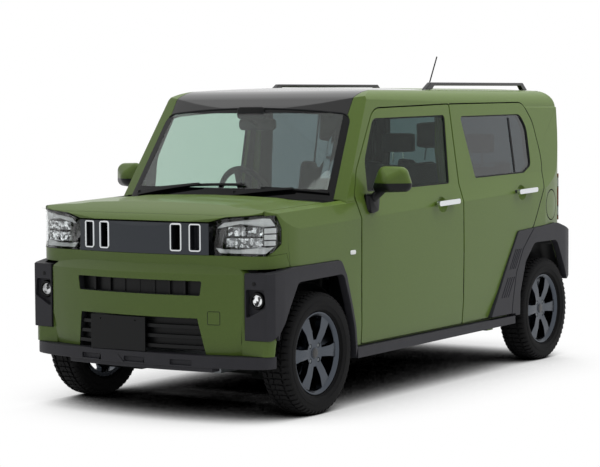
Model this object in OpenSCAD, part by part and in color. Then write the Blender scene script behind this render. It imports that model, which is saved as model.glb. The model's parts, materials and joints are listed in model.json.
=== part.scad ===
// Small tall box-shaped car, five doors, standing on its wheels.
// Frame: X to the car's left, Y to the rear, Z up.
// The origin is on the ground at the middle of the car's length and width.

/* [Overall] */
// Length over the bumpers
car_length = 3395; // [3300:5:3400]
// Width over the wheel-arch cladding
car_width = 1475; // [1440:1:1480]
// Front axle behind the front end
front_overhang = 530; // [515:1:545]
// Rear axle ahead of the rear end
rear_overhang = 405; // [395:1:415]
// Rear door and seat room as a share of the wheelbase
rear_share = 0.4057; // [0.39:0.005:0.42]
// Height of the roof crown
roof_z = 1590; // [1580:1:1610]
// Rise of the shoulder line to the rear, in degrees
rake = 2; // [1.5:0.1:2.5]

/* [Body sides] */
// Cladding stands this far outside the door skin
cladding_stand = 9.5; // [6:0.5:12]
// Height of the door's lower edge
sill_z = 300; // [290:1:310]
// Height of the shoulder crease at mid length
crease_z = 957; // [945:1:970]
// Height of the window line at mid length
belt_z = 1055; // [1045:1:1065]
// Window line inside the door skin
belt_inset = 33; // [25:1:40]
// Inward lean of the window frames, mm per mm of height
tumblehome = 0.143; // [0.12:0.005:0.16]
// Thickness of a door below the windows
door_wall = 90; // [80:1:95]
// Thickness of a door's window frame
frame_wall = 42; // [36:1:46]
// Thickness of a fender, bonnet or roof skin with its inner frame
panel_wall = 20; // [14:1:24]
// Gap round a moving panel
shut_gap = 6; // [5.5:0.5:8]
// Gap at a door's leading edge
lead_gap = 8; // [7.5:0.5:10]
// Seam between two fixed panels
seam = 0.4; // [0.2:0.1:0.8]
// Thickness of the window glass
glass_wall = 4; // [3:0.5:6]

/* [Hinges] */
// Radius of a door, bonnet or tailgate hinge pin
pin_r = 4.5; // [3.5:0.5:5]
// Running clearance round a hinge pin, spindle or ball pin
pin_play = 0.3; // [0.1:0.05:0.4]
// Wall of a hinge eye round its pin
eye_wall = 3.5; // [3:0.5:5.5]
// Door hinge axis behind the door's leading edge
hinge_set = 45; // [40:1:55]
// Door hinge axis inside the door skin
hinge_in = 15; // [13:0.5:16]

/* [Wheels] */
// Tyre outside diameter
tyre_d = 595; // [580:1:600]
// Tyre section width
tyre_w = 165; // [155:1:170]
// Rim diameter at the bead seat
rim_d = 381; // [370:1:390]
// Distance between the wheel centre planes of an axle
track = 1300; // [1290:1:1305]
// Number of wheel spokes
spokes = 6; // [5:1:7]
// Radius of the wheel spindle
spindle_r = 14; // [12:0.5:16]
// Wheel-bolt circle diameter
bolt_circle = 100; // [96:1:110]

/* [Front plate] */
// Number-plate width
plate_w = 330; // [320:1:340]
// Number-plate height
plate_h = 165; // [160:1:168]
// Distance between the plate's bolts
plate_bolts = 210; // [200:1:220]
// Radius of a plate bolt hole
plate_hole_r = 3.5; // [3:0.1:4]

/* [Hidden] */
$fn = 64;

// Stations along the car
y_nose = -car_length / 2;
y_tail = car_length / 2;
y_fa = y_nose + front_overhang;
y_ra = y_tail - rear_overhang;
wheelbase = y_ra - y_fa;
y_mid = y_fa + 1167.5;
y_a = y_fa + 391;
y_b = y_ra - rear_share * wheelbase;
y_fire = y_a - 94;
y_scuttle = y_fa + 150;

// Widths and heights
half_w = car_width / 2;
skin_x = half_w - cladding_stand;
belt_x = skin_x - belt_inset;
axle_z = tyre_d / 2;
wheel_x = track / 2;
sky_z = roof_z + 210;
far = 0.8 * car_length;
hinge_x = skin_x - hinge_in;
skid_z = 320;
floor_z = 248;
tail_x = skin_x - 118;
eye_r = pin_r + pin_play + eye_wall;

// Colours
green = "#6f8a4a";
dark = "#3a3c40";
black = "#1b1c1f";
silver = "#9aa0a6";
glassy = "#7fa09a";

// Plane geometry helpers
function unit(v) = v / norm(v);
function flip(pts) = [for (p = pts) [-p[0], p[1]]];
function back(pts) = [for (i = [len(pts) - 1:-1:0]) pts[i]];
// A half outline and its mirror image; a last point on the middle line counts once
function whole(half) = let (n = len(half) - 1)
    concat(half, back(flip(half[n][0] == 0 ? [for (i = [0:n - 1]) half[i]] : half)));
function cross2(a, b) = a[0] * b[1] - a[1] * b[0];
function total(v, i = 0) = i < len(v) ? v[i] + total(v, i + 1) : 0;
function turn_sign(pts) =
    let (n = len(pts)) sign(total([for (i = [0:n - 1]) cross2(pts[i], pts[(i + 1) % n])]));
// A closed outline moved inwards by d
function inset(pts, d) =
    let (n = len(pts), s = turn_sign(pts))
    [for (i = [0:n - 1])
        let (b = pts[i], u = unit(b - pts[(i + n - 1) % n]), v = unit(pts[(i + 1) % n] - b),
            p = s * [-u[1], u[0]], q = s * [-v[1], v[0]])
        b + (p + q) * d / (1 + p * q)];
// The arc that rounds one corner b between a and c with radius r in n steps
function corner(a, b, c, r, n) =
    let (u = unit(a - b), v = unit(c - b), half_angle = acos(max(-1, min(1, u * v))) / 2)
    r == 0 || half_angle > 89.5 ? [b] :
    let (m = b + unit(u + v) * r / sin(half_angle), p = b + u * r / tan(half_angle) - m,
        q = b + v * r / tan(half_angle) - m, a0 = atan2(p[1], p[0]), raw = atan2(q[1], q[0]) - a0,
        sweep = raw > 180 ? raw - 360 : raw < -180 ? raw + 360 : raw)
    [for (i = [0:n]) m + r * [cos(a0 + sweep * i / n), sin(a0 + sweep * i / n)]];
// An outline of [x, y, corner radius] rows with its corners rounded
function rounded(rows, n = 4) =
    let (k = len(rows), pts = [for (t = rows) [t[0], t[1]]])
    [for (i = [0:k - 1]) each corner(pts[(i + k - 1) % k], pts[i], pts[(i + 1) % k], rows[i][2], n)];
// An open curve with its corners cut away twice, between its end points
function cut(pts) = concat([pts[0]], [for (i = [0:len(pts) - 2]) each [pts[i] * 0.75 + pts[i + 1] * 0.25,
    pts[i] * 0.25 + pts[i + 1] * 0.75]], [pts[len(pts) - 1]]);
function smooth(pts) = cut(cut(pts));
function arc(cx, cy, r, a0, a1, n) =
    [for (i = [0:n]) let (a = a0 + (a1 - a0) * i / n) [cx + r * cos(a), cy + r * sin(a)]];

// Prisms: an X-Z section along Y, a Y-Z side view along X, an X-Y plan along Z
module section_prism(pts, y0 = -far, y1 = far)
    translate([0, y1, 0]) rotate([90, 0, 0]) linear_extrude(y1 - y0) polygon(pts);
module side_prism(pts, x0, x1)
    translate([x0, 0, 0]) rotate([90, 0, 90]) linear_extrude(x1 - x0) polygon(pts);
module plan_prism(pts, z0, z1)
    translate([0, 0, z0]) linear_extrude(z1 - z0) polygon(pts);
module block(x, y, z) translate([x[0], y[0], z[0]]) cube([x[1] - x[0], y[1] - y[0], z[1] - z[0]]);
module both_sides() { children(); mirror([1, 0, 0]) children(); }
// The shoulder line rises about the height it has at y_mid
module raked() translate([0, y_mid, 0]) rotate([rake, 0, 0]) translate([0, -y_mid, 0]) children();

// Cabin surfaces; each takes how far inside the outer skin it lies
function side_half(low, up) = [[skin_x - 28 - low, 100], [skin_x - 4 - low, 420], [skin_x - low, 690],
    [skin_x - 2 - low, crease_z], [belt_x - up, belt_z], [belt_x - up - tumblehome * (sky_z - belt_z),
        sky_z]];
crown_r = 8460;
rail_r = 95;
rail_x = skin_x - 186;
function roof_half(d) = concat([[skin_x + 32, -200], [skin_x + 32, roof_z - 190]],
    arc(rail_x, roof_z - 112, rail_r - d, 0, 80, 10),
    [for (x = [430:-86:0]) [x, roof_z - d - x * x / 2 / crown_r]]);
function profile(d) = concat([[y_fire - 340 + d, 100], [y_tail - 38 - d, 100]],
    smooth([[y_tail - 26 - d, 700], [y_tail - 30 - d, 1000], [y_tail - 48 - d, 1250],
        [y_tail - 84 - d, roof_z - 120],
        [y_tail - 108 - d, roof_z - 50 - d / 2], [y_tail - 172 - d / 2, roof_z - 9 - d],
            [y_tail - 300, roof_z + 2 - d]]),
    smooth([[y_fa + 970, roof_z + 2 - d], [y_fa + 717, roof_z - 18 - d], [y_fa + 607, roof_z - 50 - d],
        [y_fa + 527, roof_z - 95 - d]]),
    [[y_fa - 133, 1100 - d]]);
function cabin_plan_half(d) = concat([[skin_x + 20 - d, -far]],
    smooth([[skin_x + 20 - d, y_ra - 392], [skin_x + 12 - d, y_ra - 142], [skin_x - 4 - d, y_ra + 38],
        [skin_x - 23 - d, y_tail - 217], [skin_x - 56 - d, y_tail - 115],
            [skin_x - 114 - d, y_tail - 59 - d],
        [skin_x - 228, y_tail - 37 - d], [skin_x - 428, y_tail - 26 - d], [0, y_tail - 22 - d]]));
// Windscreen: a part-cylinder whose axis lies along the slope; screen() stands in its own frame,
// x across, y square to the glass and inwards, z up the slope from the base
screen_lean = 33.2;
screen_r = 2826;
screen_y = y_fa + 207;
screen_z = 1040;
screen_up = 525;
module screen() translate([0, screen_y, screen_z]) rotate([-screen_lean, 0, 0]) children();
module behind_screen(d) screen() translate([0, 0, -1400]) linear_extrude(4400)
    polygon(concat([for (x = [900:-100:-900]) [x, d + screen_r - sqrt(screen_r * screen_r - x * x)]],
        [[-900, 4000], [900, 4000]]));
screen_half = [[632, -12, 30], [574, screen_up, 55]];
function screen_outline(d) = rounded([for (p = concat(screen_half, [for (q = back(screen_half)) [-q[0],
    q[1], q[2]]]))
    [p[0] + sign(p[0]) * d, p[1] + (p[1] > 0 ? d : -d), p[2]]]);
module screen_window(d) screen() rotate([90, 0, 0]) translate([0, 0, -400]) linear_extrude(800)
    polygon(screen_outline(d));

module side_solid(low, up) raked() section_prism(whole(side_half(low, up)));
module cabin(low, up, d, roof, glass) intersection() {
    side_solid(low, up);
    section_prism(whole(roof_half(roof)));
    side_prism(profile(d), -1000, 1000);
    plan_prism(whole(cabin_plan_half(d)), 0, 2000);
    behind_screen(glass);
}

// Side-view outlines: openings that the doors and windows fill
front_opening = rounded([[y_a + 4, sill_z, 20], [y_b, sill_z, 16], [y_b, roof_z - 93, 16],
    [y_a + 270, roof_z - 112, 130], [y_a + 34, 1168, 60], [y_a - 12, 1040, 0], [y_a, 940, 0],
        [y_a - 6, 640, 0]], 6);
rear_opening = rounded([[y_b, sill_z, 16], [y_ra - 442, sill_z, 16], [y_ra - 432, 375, 60],
    [y_ra - 388, 535, 90],
    [y_ra - 302, 668, 90], [y_ra - 148, 792, 30], [y_ra - 112, 842, 40], [y_ra + 2, 1022, 140],
    [y_ra + 40, 1170, 260], [y_ra - 22, roof_z - 195, 160], [y_ra - 120, roof_z - 86, 110],
        [y_b, roof_z - 93, 16]], 6);
front_window = rounded([[y_a + 119, belt_z + 3, 14], [y_b - 105, belt_z + 14, 16],
    [y_b - 62, roof_z - 153, 22],
    [y_a + 255, roof_z - 165, 60], [y_a + 126, belt_z + 161, 120]], 6);
rear_window = rounded([[y_b + 199, belt_z + 33, 16], [y_ra - 206, belt_z + 44, 60],
    [y_ra - 110, belt_z + 84, 45],
    [y_ra - 106, roof_z - 235, 100], [y_ra - 170, roof_z - 154, 70], [y_b + 109, roof_z - 161, 20]], 6);

// Doors
hinge_heights = [500, 830];
notch_h = 60;
arm_h = 40;
front_hinge_y = y_a + 4 + hinge_set;
rear_hinge_y = y_b + hinge_set;
module hinge_pins(y) for (z = hinge_heights)
    translate([hinge_x, y, z - notch_h / 2 - 5]) cylinder(r = pin_r, h = notch_h + 10);
module hinge_notches(y) for (z = hinge_heights)
    block([400, hinge_x + eye_r + pin_play], [y - 100, y + eye_r + pin_play],
        [z - notch_h / 2, z + notch_h / 2]);
module hinge_arms(y, reach) for (z = hinge_heights) difference() {
    union() {
        translate([hinge_x, y, z - arm_h / 2]) cylinder(r = eye_r, h = arm_h);
        block([hinge_x - reach, hinge_x], [y - eye_r * 0.7, y + eye_r * 0.7],
            [z - arm_h / 2, z + arm_h / 2]);
    }
    translate([hinge_x, y, z - arm_h]) cylinder(r = pin_r + pin_play, h = 2 * arm_h);
}
// A door's inner edge steps back from its skin, which gives it room to swing
flange_x = skin_x - 38;
flange_step = 9;
handle_w = 22;
module handle(y, z) {
    side_prism(rounded([[y - 115, z - 15, 12], [y + 115, z - 9, 12], [y + 115, z + 19, 12],
        [y - 115, z + 13, 12]]),
        skin_x + 14, skin_x + 14 + handle_w);
    for (dy = [-92, 92])
        translate([skin_x - 40, y + dy, z + dy * 0.026 + 2]) rotate([0, 90, 0]) cylinder(r = 10, h = 60);
}
module handle_cup(y, z) translate([skin_x + 55, y - 15, z]) sphere(r = 78);
module door(opening, lead, window, hinge_y, handle_y, handle_z) difference() {
    union() {
        difference() {
            intersection() {
                side_solid(0, 0);
                plan_prism(whole(cabin_plan_half(0)), 0, 2000);
                side_prism(inset(opening, shut_gap / 2), 300, 900);
                block([0, 900], [lead, far], [0, 2000]);
            }
            side_solid(door_wall, frame_wall);
            side_prism(window, 300, 900);
            difference() {
                block([300, flange_x], [hinge_y, far], [0, belt_z]);
                side_prism(inset(opening, shut_gap / 2 + flange_step), 300, 900);
            }
            handle_cup(handle_y, handle_z);
            hinge_notches(hinge_y);
        }
        hinge_pins(hinge_y);
        handle(handle_y, handle_z);
    }
}
module pane(window) intersection() {
    difference() { side_solid(9, 9); side_solid(9 + glass_wall, 9 + glass_wall); }
    plan_prism(whole(cabin_plan_half(0)), 0, 2000);
    side_prism(inset(window, seam), 300, 900);
}
rear_lead = y_b - shut_gap / 2 + lead_gap;
// A front door's leading edge follows its post, so its gap is opened by sliding the outline back
module door_front() color(green) difference() {
    door(front_opening, y_a - 400, front_window, front_hinge_y, y_b - 217, 972);
    side_prism(concat([for (p = [[y_a + 4, 200], [y_a - 6, 640], [y_a, 940], [y_a - 12, 1040]])
        [p[0] + lead_gap, p[1]]], [[y_a - 300, 1040], [y_a - 300, 200]]), 300, 900);
    mirror_seat();
}
module door_rear() color(green) difference() {
    door(rear_opening, rear_lead, rear_window, rear_hinge_y, y_ra - 277, 998);
    side_prism(rear_clad, skin_x - 30, 900);
}
module door_front_left() door_front();
module door_front_right() mirror([1, 0, 0]) door_front();
module door_rear_left() door_rear();
module door_rear_right() mirror([1, 0, 0]) door_rear();
module glass_front_left() color(glassy) pane(front_window);
module glass_front_right() mirror([1, 0, 0]) glass_front_left();
module glass_rear_left() color(glassy) pane(rear_window);
module glass_rear_right() mirror([1, 0, 0]) glass_rear_left();

// Door mirrors: a rounded head on a foot that seats in a pocket of the door skin
mirror_y = y_a + 142;
foot_plan = rounded([[mirror_y - 62, 950, 18], [mirror_y + 12, 962, 18], [mirror_y + 45, 1046, 20],
    [mirror_y - 62, 1046, 10]]);
module mirror_seat() side_prism(inset(foot_plan, -seam), skin_x - 46, 900);
module mirror_foot() intersection() {
    side_prism(foot_plan, skin_x - 46 + seam, skin_x + 12);
    raked() section_prism([[skin_x + 26, 900], [skin_x + 10, crease_z], [skin_x - 8, belt_z + 40],
        [400, belt_z + 40], [400, 900]]);
}
// Balls that the mirror's head is drawn over: x outside the skin, y behind the mirror's station, z, radius
head_balls = [[16, -6, 1084, 28], [60, -10, 1146, 42], [140, 2, 1144, 42], [158, 14, 1096, 36],
    [92, -22, 1112, 54]];
module mirror_left() color(green) union() {
    mirror_foot();
    hull() for (t = head_balls) translate([skin_x + t[0], mirror_y + t[1], t[2]]) sphere(r = t[3],
        $fn = 32);
    hull() {
        translate([skin_x - 4, mirror_y - 14, 1030]) sphere(r = 22, $fn = 24);
        translate([skin_x + 40, mirror_y, 1078]) sphere(r = 24, $fn = 24);
    }
}
module mirror_right() mirror([1, 0, 0]) mirror_left();

// Body sides: pillars, roof rail, rear quarter, rocker and hinge post of each side
body_low = 112;
post_y = y_fa + 346;
body_up = 62;
gate_half = [[556, 640], [600, 720], [606, 1000], [592, 1300], [566, roof_z - 95], [552, sky_z]];
gate_y = y_tail - 197.5;
gate_gap = 12;
roof_split_x = 556;
roof_split_y = y_b - 62;
flap_y = y_ra + 108;
flap_z = 902;
flap_r = 85;
flap_gap = 6;
flap_wall = 8;
flap_pin_r = 2.5;
flap_pin_y = flap_y - flap_r + 12;
flap_pin_x = skin_x - 4 - flap_wall / 2;
rear_wheel_open = rounded([[y_ra - 345, 60, 0], [y_ra - 335, 420, 60], [y_ra - 268, 592, 60],
    [y_ra - 155, 694, 60],
    [y_ra + 140, 694, 60], [y_ra + 276, 474, 60], [y_ra + 322, 300, 0], [y_ra + 335, 60, 0]]);
rear_clad = rounded([[y_ra - 692, sill_z + 6, 0], [y_ra - 522, 550, 60], [y_ra - 358, 772, 40],
    [y_ra + 157, 794, 60],
    [y_ra + 360, 742, 30], [y_ra + 420, 700, 0], [y_ra + 420, 520, 0], [y_ra + 378, 474, 24],
        [y_ra + 300, 452, 0],
    [y_ra, 452, 0], [y_ra, sill_z - 40, 0], [y_ra - 380, sill_z - 40, 0], [y_ra - 400, sill_z + 6, 0]]);
clad_in = 30;
module body_side() union() {
    difference() {
        cabin(0, 0, 0, 0, 0);
        cabin(body_low, body_up, 75, 40, 46);
        block([-900, roof_split_x + seam / 2], [-far, gate_y - gate_gap / 2], [-100, 2000]);
        block([-900, 300], [-far, far], [-100, 2000]);
        side_prism(inset(front_opening, -shut_gap / 2), 300, 900);
        side_prism(inset(rear_opening, -shut_gap / 2), 300, 900);
        screen_window(seam);
        section_prism(inset(whole(gate_half), -shut_gap / 2), gate_y - gate_gap / 2, far);
        block([300, 900], [-far, y_a + 8], [-100, 900]);
        intersection() { nose(-seam); block([300, 900], [-far, y_a + 8], [0, 1200]); }
        block([300, 900], [-far, y_ra - 400], [-100, sill_z]);
        block([300, 900], [y_ra - 700, far], [-100, 520]);
        block([300, 640], [y_ra + 200, far], [-100, 644]);
        block([540, 900], [y_ra + 270, far], [-100, 748]);
        side_prism(rear_wheel_open, 300, 900);
        side_prism(inset(rear_clad, -seam), skin_x - clad_in, 900);
        tail_light_zone(seam);
        translate([skin_x - 70, flap_y, flap_z]) rotate([0, 90, 0]) cylinder(r = flap_r + flap_gap,
            h = 200);
    }
    // Hinge post with its rear flange behind the door, centre pillar and rocker
    intersection() {
        block([skin_x - 166, skin_x - 40], [post_y, y_a - 14], [sill_z - 60, 1047]);
        nose(panel_wall + 3);
    }
    block([skin_x - 166, skin_x - body_low], [post_y, front_hinge_y + 30], [sill_z - 60, 960]);
    intersection() {
        block([skin_x - 150, bonnet_x - 4], [post_y, y_a - 16], [900, 1100]);
        cabin(6, 6, 0, 0, 8);
    }
    intersection() {
        difference() { side_solid(body_low, frame_wall + 14); side_solid(body_low + 50, frame_wall + 60); }
        block([skin_x - 160, 900], [y_b - 45, rear_hinge_y + 30], [sill_z - 60, roof_z - 70]);
        section_prism(whole(roof_half(20)));
    }
    block([skin_x - 170, skin_x - 34], [post_y, y_ra - 420], [sill_z - 62, sill_z - shut_gap / 2]);
    // Jacking pads under the rocker
    for (y = [y_fa + 500, y_ra - 560])
        block([skin_x - 130, skin_x - 70], [y - 35, y + 35], [sill_z - 80, sill_z - 60]);
    // Hinge arms reach out from the posts to the door pins
    hinge_arms(front_hinge_y, hinge_in + body_low - 20);
    hinge_arms(rear_hinge_y, hinge_in + body_low - 20);
}
module flap_pin(r) translate([flap_pin_x, flap_pin_y, flap_z - 62]) cylinder(r = r, h = 124, $fn = 32);
module body_sides() color(green) {
    union() { body_side(); flap_pin(flap_pin_r); }
    mirror([1, 0, 0]) body_side();
}
module fuel_flap() color(green) difference() {
    intersection() {
        difference() { cabin(0, 0, 0, 0, -50); cabin(flap_wall, flap_wall, flap_wall, flap_wall, -50); }
        translate([skin_x - 70, flap_y, flap_z]) rotate([0, 90, 0]) cylinder(r = flap_r, h = 200);
    }
    flap_pin(flap_pin_r + pin_play);
}

// Roof: body-colour rear panel with the tailgate header, and a dark glass panel ahead of it
gate_pin_y = gate_y + 30;
gate_pin_z = roof_z - 36;
// The tailgate's top edge is rounded about its pins to pass the roof's edge
gate_swing_r = gate_pin_y - gate_y + gate_gap / 2 - 5;
lift_wall = 3;
lift_eye_r = pin_r + pin_play + lift_wall;
gate_arm_x = 420;
module roof_slab(y0, y1, wall) difference() {
    intersection() {
        cabin(0, 0, 0, 0, 0);
        block([-roof_split_x + seam / 2, roof_split_x - seam / 2], [y0, y1], [roof_z - 200, 2000]);
    }
    cabin(50, 50, 50, wall, 46);
    screen_window(seam);
}
// A round bar across the car about the tailgate's or bonnet's hinge axis
module cross_bar(x, y, z, r, w) translate([x - w / 2, y, z]) rotate([0, 90, 0]) cylinder(r = r, h = w);
arm_w = 24;
slot_play = 10;
module gate_arm(x) difference() {
    union() {
        cross_bar(x, gate_pin_y, gate_pin_z, lift_eye_r, arm_w);
        for (t = [[gate_pin_y - 7, gate_pin_y + 7, 62, 0], [gate_y - 60, gate_pin_y + 7, 62, 48],
            [gate_y - 60, gate_y - 40, 62, 0]])
            block([x - arm_w / 2, x + arm_w / 2], [t[0], t[1]], [gate_pin_z - t[2], gate_pin_z - t[3]]);
    }
    cross_bar(x, gate_pin_y, gate_pin_z, pin_r + pin_play, 2 * arm_w);
}
module roof_panel() color(green) union() {
    roof_slab(roof_split_y, gate_y - gate_gap / 2, 40);
    both_sides() gate_arm(gate_arm_x);
}
module roof_glass() color(black) roof_slab(-far, roof_split_y - seam, 40);
module windscreen() color(glassy) intersection() {
    difference() { behind_screen(0); behind_screen(5); }
    screen_window(0);
    side_solid(0, 0);
}
rail_x0 = 500;
module roof_rails() color(black) both_sides() side_prism(concat(
    [[y_b - 45, roof_z - 13.6], [y_b + 25, roof_z + 26], [gate_y - 70, roof_z + 30],
        [gate_y - 12, roof_z - 13.6]],
    [[gate_y - 70, roof_z - 13.6], [gate_y - 98, roof_z + 12], [y_b + 60, roof_z + 8],
        [y_b + 30, roof_z - 13.6]]),
    rail_x0 - 14, rail_x0 + 14);
antenna_y = y_ra - 88;
module antenna() color(black) union() {
    translate([0, antenna_y, roof_z + seam]) cylinder(r1 = 26, r2 = 16, h = 20);
    translate([0, antenna_y, roof_z + 18]) rotate([-30, 0, 0]) cylinder(r = 4, h = 200);
}

// Tailgate
gate_window = whole(rounded([[60, 1075, 0], [540, 1075, 40], [512, roof_z - 150, 50],
    [60, roof_z - 136, 0]]));
module gate_zone(d) section_prism(inset(whole(gate_half), d), gate_y + gate_gap / 2, far);
gate_x = 900;
gate_slot_r = lift_eye_r + pin_play;
module tailgate() color(green) union() {
    difference() {
        intersection() {
            cabin(0, 0, 0, 0, 0);
            gate_zone(shut_gap / 2);
            block([-gate_x, gate_x], [0, far], [650, 2000]);
        }
        cabin(55, 55, 62, 34, 46);
        section_prism(gate_window, gate_y - 100, far);
        // Plate recess
        section_prism(rounded([[-190, 760, 10], [190, 760, 10], [190, 945, 10], [-190, 945, 10]]),
            y_tail - 50, far);
        // Top edge rounded about the pins
        difference() {
            block([-gate_x, gate_x], [gate_y, gate_pin_y], [gate_pin_z, 2000]);
            cross_bar(0, gate_pin_y, gate_pin_z, gate_swing_r, 2 * gate_x);
        }
        both_sides() {
            cross_bar(gate_arm_x, gate_pin_y, gate_pin_z, gate_slot_r, arm_w + 2 * slot_play);
            for (t = [[gate_slot_r, 0], [0, gate_slot_r]])
                block([gate_arm_x - arm_w / 2 - slot_play, gate_arm_x + arm_w / 2 + slot_play],
                    [gate_y - 40, gate_pin_y + t[0]], [gate_pin_z - 120, gate_pin_z + t[1]]);
        }
    }
    both_sides() cross_bar(gate_arm_x, gate_pin_y, gate_pin_z, pin_r, arm_w + 3 * slot_play);
}
module tailgate_glass() color(glassy) intersection() {
    difference() { cabin(0, 0, 8, 0, 0); cabin(-20, -20, 8 + glass_wall, 0, -20); }
    section_prism(inset(gate_window, seam), gate_y - 100, far);
    block([-gate_x, gate_x], [gate_y - 100, far], [900, roof_z - 100]);
}

// Nose: bonnet, fenders, lamps and grille share one outer surface
// The fender's shoulder lies in the doors' upper surface
shoulder_h = 84;
function shoulder_x(h) = skin_x - 2 - (belt_inset - 2) * h / (belt_z - crease_z);
ridge_x = 425;
function nose_half(d) = concat([[skin_x - 28 - d, 100], [skin_x - 4 - d, 420], [skin_x - d, 690],
    [skin_x - 2 - d, crease_z - d / 3], [shoulder_x(shoulder_h) - d * 0.8, crease_z + shoulder_h - d * 0.6],
    [skin_x - 70 - d * 0.3, crease_z + 98 - d]],
    smooth([[560, crease_z + 104 - d], [ridge_x + 40, crease_z + 107 - d], [ridge_x, crease_z + 115 - d],
        [280, crease_z + 120 - d], [140, crease_z + 123 - d], [0, crease_z + 124 - d]]));
function nose_profile(d) = concat([[y_fa + 500, 100], [y_fa + 500, nose_top + 132],
    [y_fa - 103, nose_top + 16 - d]],
    smooth([[y_fa - 183, nose_top - d], [y_fa - 333, nose_top - 52 - d],
        [y_fa - 413 + d * 0.4, nose_top - 86 - d],
        [y_fa - 462 + d, nose_top - 118 - d * 0.6], [y_fa - 482 + d, nose_top - 146]]),
    [[y_fa - 490 + d, nose_top - 288], [y_fa - 480 + d, 100]]);
nose_top = 1068;
function nose_plan_half(d) = concat([[skin_x + 10 - d, y_fa + 500], [skin_x + 10 - d, y_fa - 30]],
    smooth([[skin_x - 6 - d, y_fa - 222], [skin_x - 18 - d, y_fa - 300], [skin_x - 44 - d, y_fa - 362],
        [skin_x - 106 - d * 0.7, y_fa - 404 + d * 0.7], [skin_x - 208, y_fa - 426 + d],
            [390, y_fa - 444 + d],
        [200, y_fa - 474 + d], [0, y_fa - 485 + d]]));
module nose(d) intersection() {
    raked() section_prism(whole(nose_half(d)));
    side_prism(nose_profile(d), -1000, 1000);
    plan_prism(whole(nose_plan_half(d)), 0, 2000);
}
bonnet_x = skin_x - 74;
bonnet_y = y_scuttle - 14;
// Front view of the line where bonnet meets lamps and grille
brow = [[0, 944], [388, 944], [474, 968], [800, 992]];
bonnet_pin_y = bonnet_y - 45;
bonnet_pin_z = nose_top - 52;
bonnet_arm_x = 500;
// Everything above the brow line, or below it, moved by d
function brow_line(d) = concat([for (p = back(brow)) [-p[0], p[1] + d]], [for (p = brow) [p[0], p[1] + d]]);
module above_brow(d) section_prism(concat(brow_line(d), [[800, 1500], [-800, 1500]]), -far, 0);
module below_brow(d) section_prism(concat(brow_line(-d), [[800, 300], [-800, 300]]), -far, 0);
module bonnet() color(green) union() {
    difference() {
        intersection() {
            nose(0);
            block([-bonnet_x, bonnet_x], [-far, bonnet_y], [700, 2000]);
            above_brow(shut_gap / 2);
        }
        nose(panel_wall);
        both_sides() block([bonnet_arm_x - arm_w / 2 - slot_play, bonnet_arm_x + arm_w / 2 + slot_play],
            [bonnet_pin_y - lift_eye_r - pin_play, bonnet_y + 50], [800,
                bonnet_pin_z + lift_eye_r + pin_play]);
    }
    both_sides() cross_bar(bonnet_arm_x, bonnet_pin_y, bonnet_pin_z, pin_r, arm_w + 3 * slot_play);
}
lamp_y = y_fa - 300;
lamp_z0 = 790;
lamp_wall = 45;
grille_x = 388;
module lamp_zone(d) intersection() {
    below_brow(shut_gap / 2 - d);
    side_prism(rounded([[y_fa - 700, lamp_z0 - d, 0], [lamp_y - 70, lamp_z0 - d, 20],
        [lamp_y + d, lamp_z0 + 55, 20],
        [lamp_y + d, lamp_z0 + 130, 20], [lamp_y - 40, 1000, 0], [y_fa - 700, 1000, 0]]),
            grille_x + seam - d, 900);
}
fog_x = 638;
fog_z = 583;
fog_r = 42;
module front_lamps() color(silver) both_sides() {
    difference() { intersection() { nose(2); lamp_zone(0); } nose(lamp_wall); }
    translate([fog_x, y_fa - 428 + 36, fog_z]) rotate([90, 0, 0]) cylinder(r = fog_r - seam, h = 16);
}
slot_x = [216, 318];
slot_w = 46;
module grille_panel() color("#4c5054") difference() {
    intersection() { nose(0); below_brow(shut_gap / 2); block([-grille_x, grille_x], [-far, 0],
        [lamp_z0, 1000]); }
    nose(34);
    for (s = [-1, 1], x = slot_x) section_prism(rounded([[s * x - slot_w / 2, lamp_z0 + 24, 8],
        [s * x + slot_w / 2, lamp_z0 + 24, 8],
        [s * x + slot_w / 2, 930, 8], [s * x - slot_w / 2, 930, 8]]), -far, y_fa - 425);
}
// Lower end of the corner cladding, above the bumper's flank
clad_z = 396;
band_side = [[y_fa - 600, 717], [y_fa - 247, 734], [lamp_y + 30, 800], [lamp_y - 70, lamp_z0 - seam],
    [y_fa - 600, lamp_z0 - seam]];
front_wheel_open = rounded([[y_fa - 400, 60, 0], [y_fa - 372, 330, 0], [y_fa - 352, 430, 30],
    [y_fa - 312, 482, 30], [y_fa - 272, 548, 30],
    [y_fa - 200, 658, 40], [y_fa + 205, 668, 40], [y_fa + 266, 520, 60], [y_fa + 303, 400, 40],
        [y_fa + 317, 300, 0], [y_fa + 322, 60, 0]]);
front_clad = rounded([[y_fa - 540, 714, 0], [y_fa - 400, 712, 0], [y_fa - 247, 733, 30],
    [y_fa + 186, 738, 40],
    [y_fa + 236, 662, 60], [y_fa + 292, 500, 60], [y_fa + 322, 400, 40], [y_fa + 335, sill_z - 10, 0],
    [y_fa + 317, sill_z - 60, 0], [y_fa - 340, 338, 0], [y_fa - 368, 420, 0], [y_fa - 402, clad_z, 0],
    [y_fa - 540, clad_z, 0]]);
module front_fenders() color(green) both_sides() difference() {
    intersection() {
        nose(0);
        side_prism([[y_a - 6, 100], [y_a + 4, sill_z], [y_a - 6, 640], [y_a, 940], [y_a - 12, 1040],
            [y_a - 40, 1100],
            [lamp_y - 300, 1100], [lamp_y - 300, 950], [lamp_y - 40, lamp_z0 + 130],
                [lamp_y - 90, lamp_z0 - 2],
            [y_fa - 240, 700], [y_fa, 700], [y_fa, 100]], 300, 900);
        block([bonnet_x + shut_gap, 900], [-far, far], [sill_z - 2, 2000]);
    }
    nose(panel_wall);
    side_prism(front_wheel_open, 300, 900);
    side_prism(inset(front_clad, -seam), 300, 900);
    side_prism(inset(band_side, -seam), 300, 900);
    lamp_zone(seam);
    screen_window(seam);
}

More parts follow.
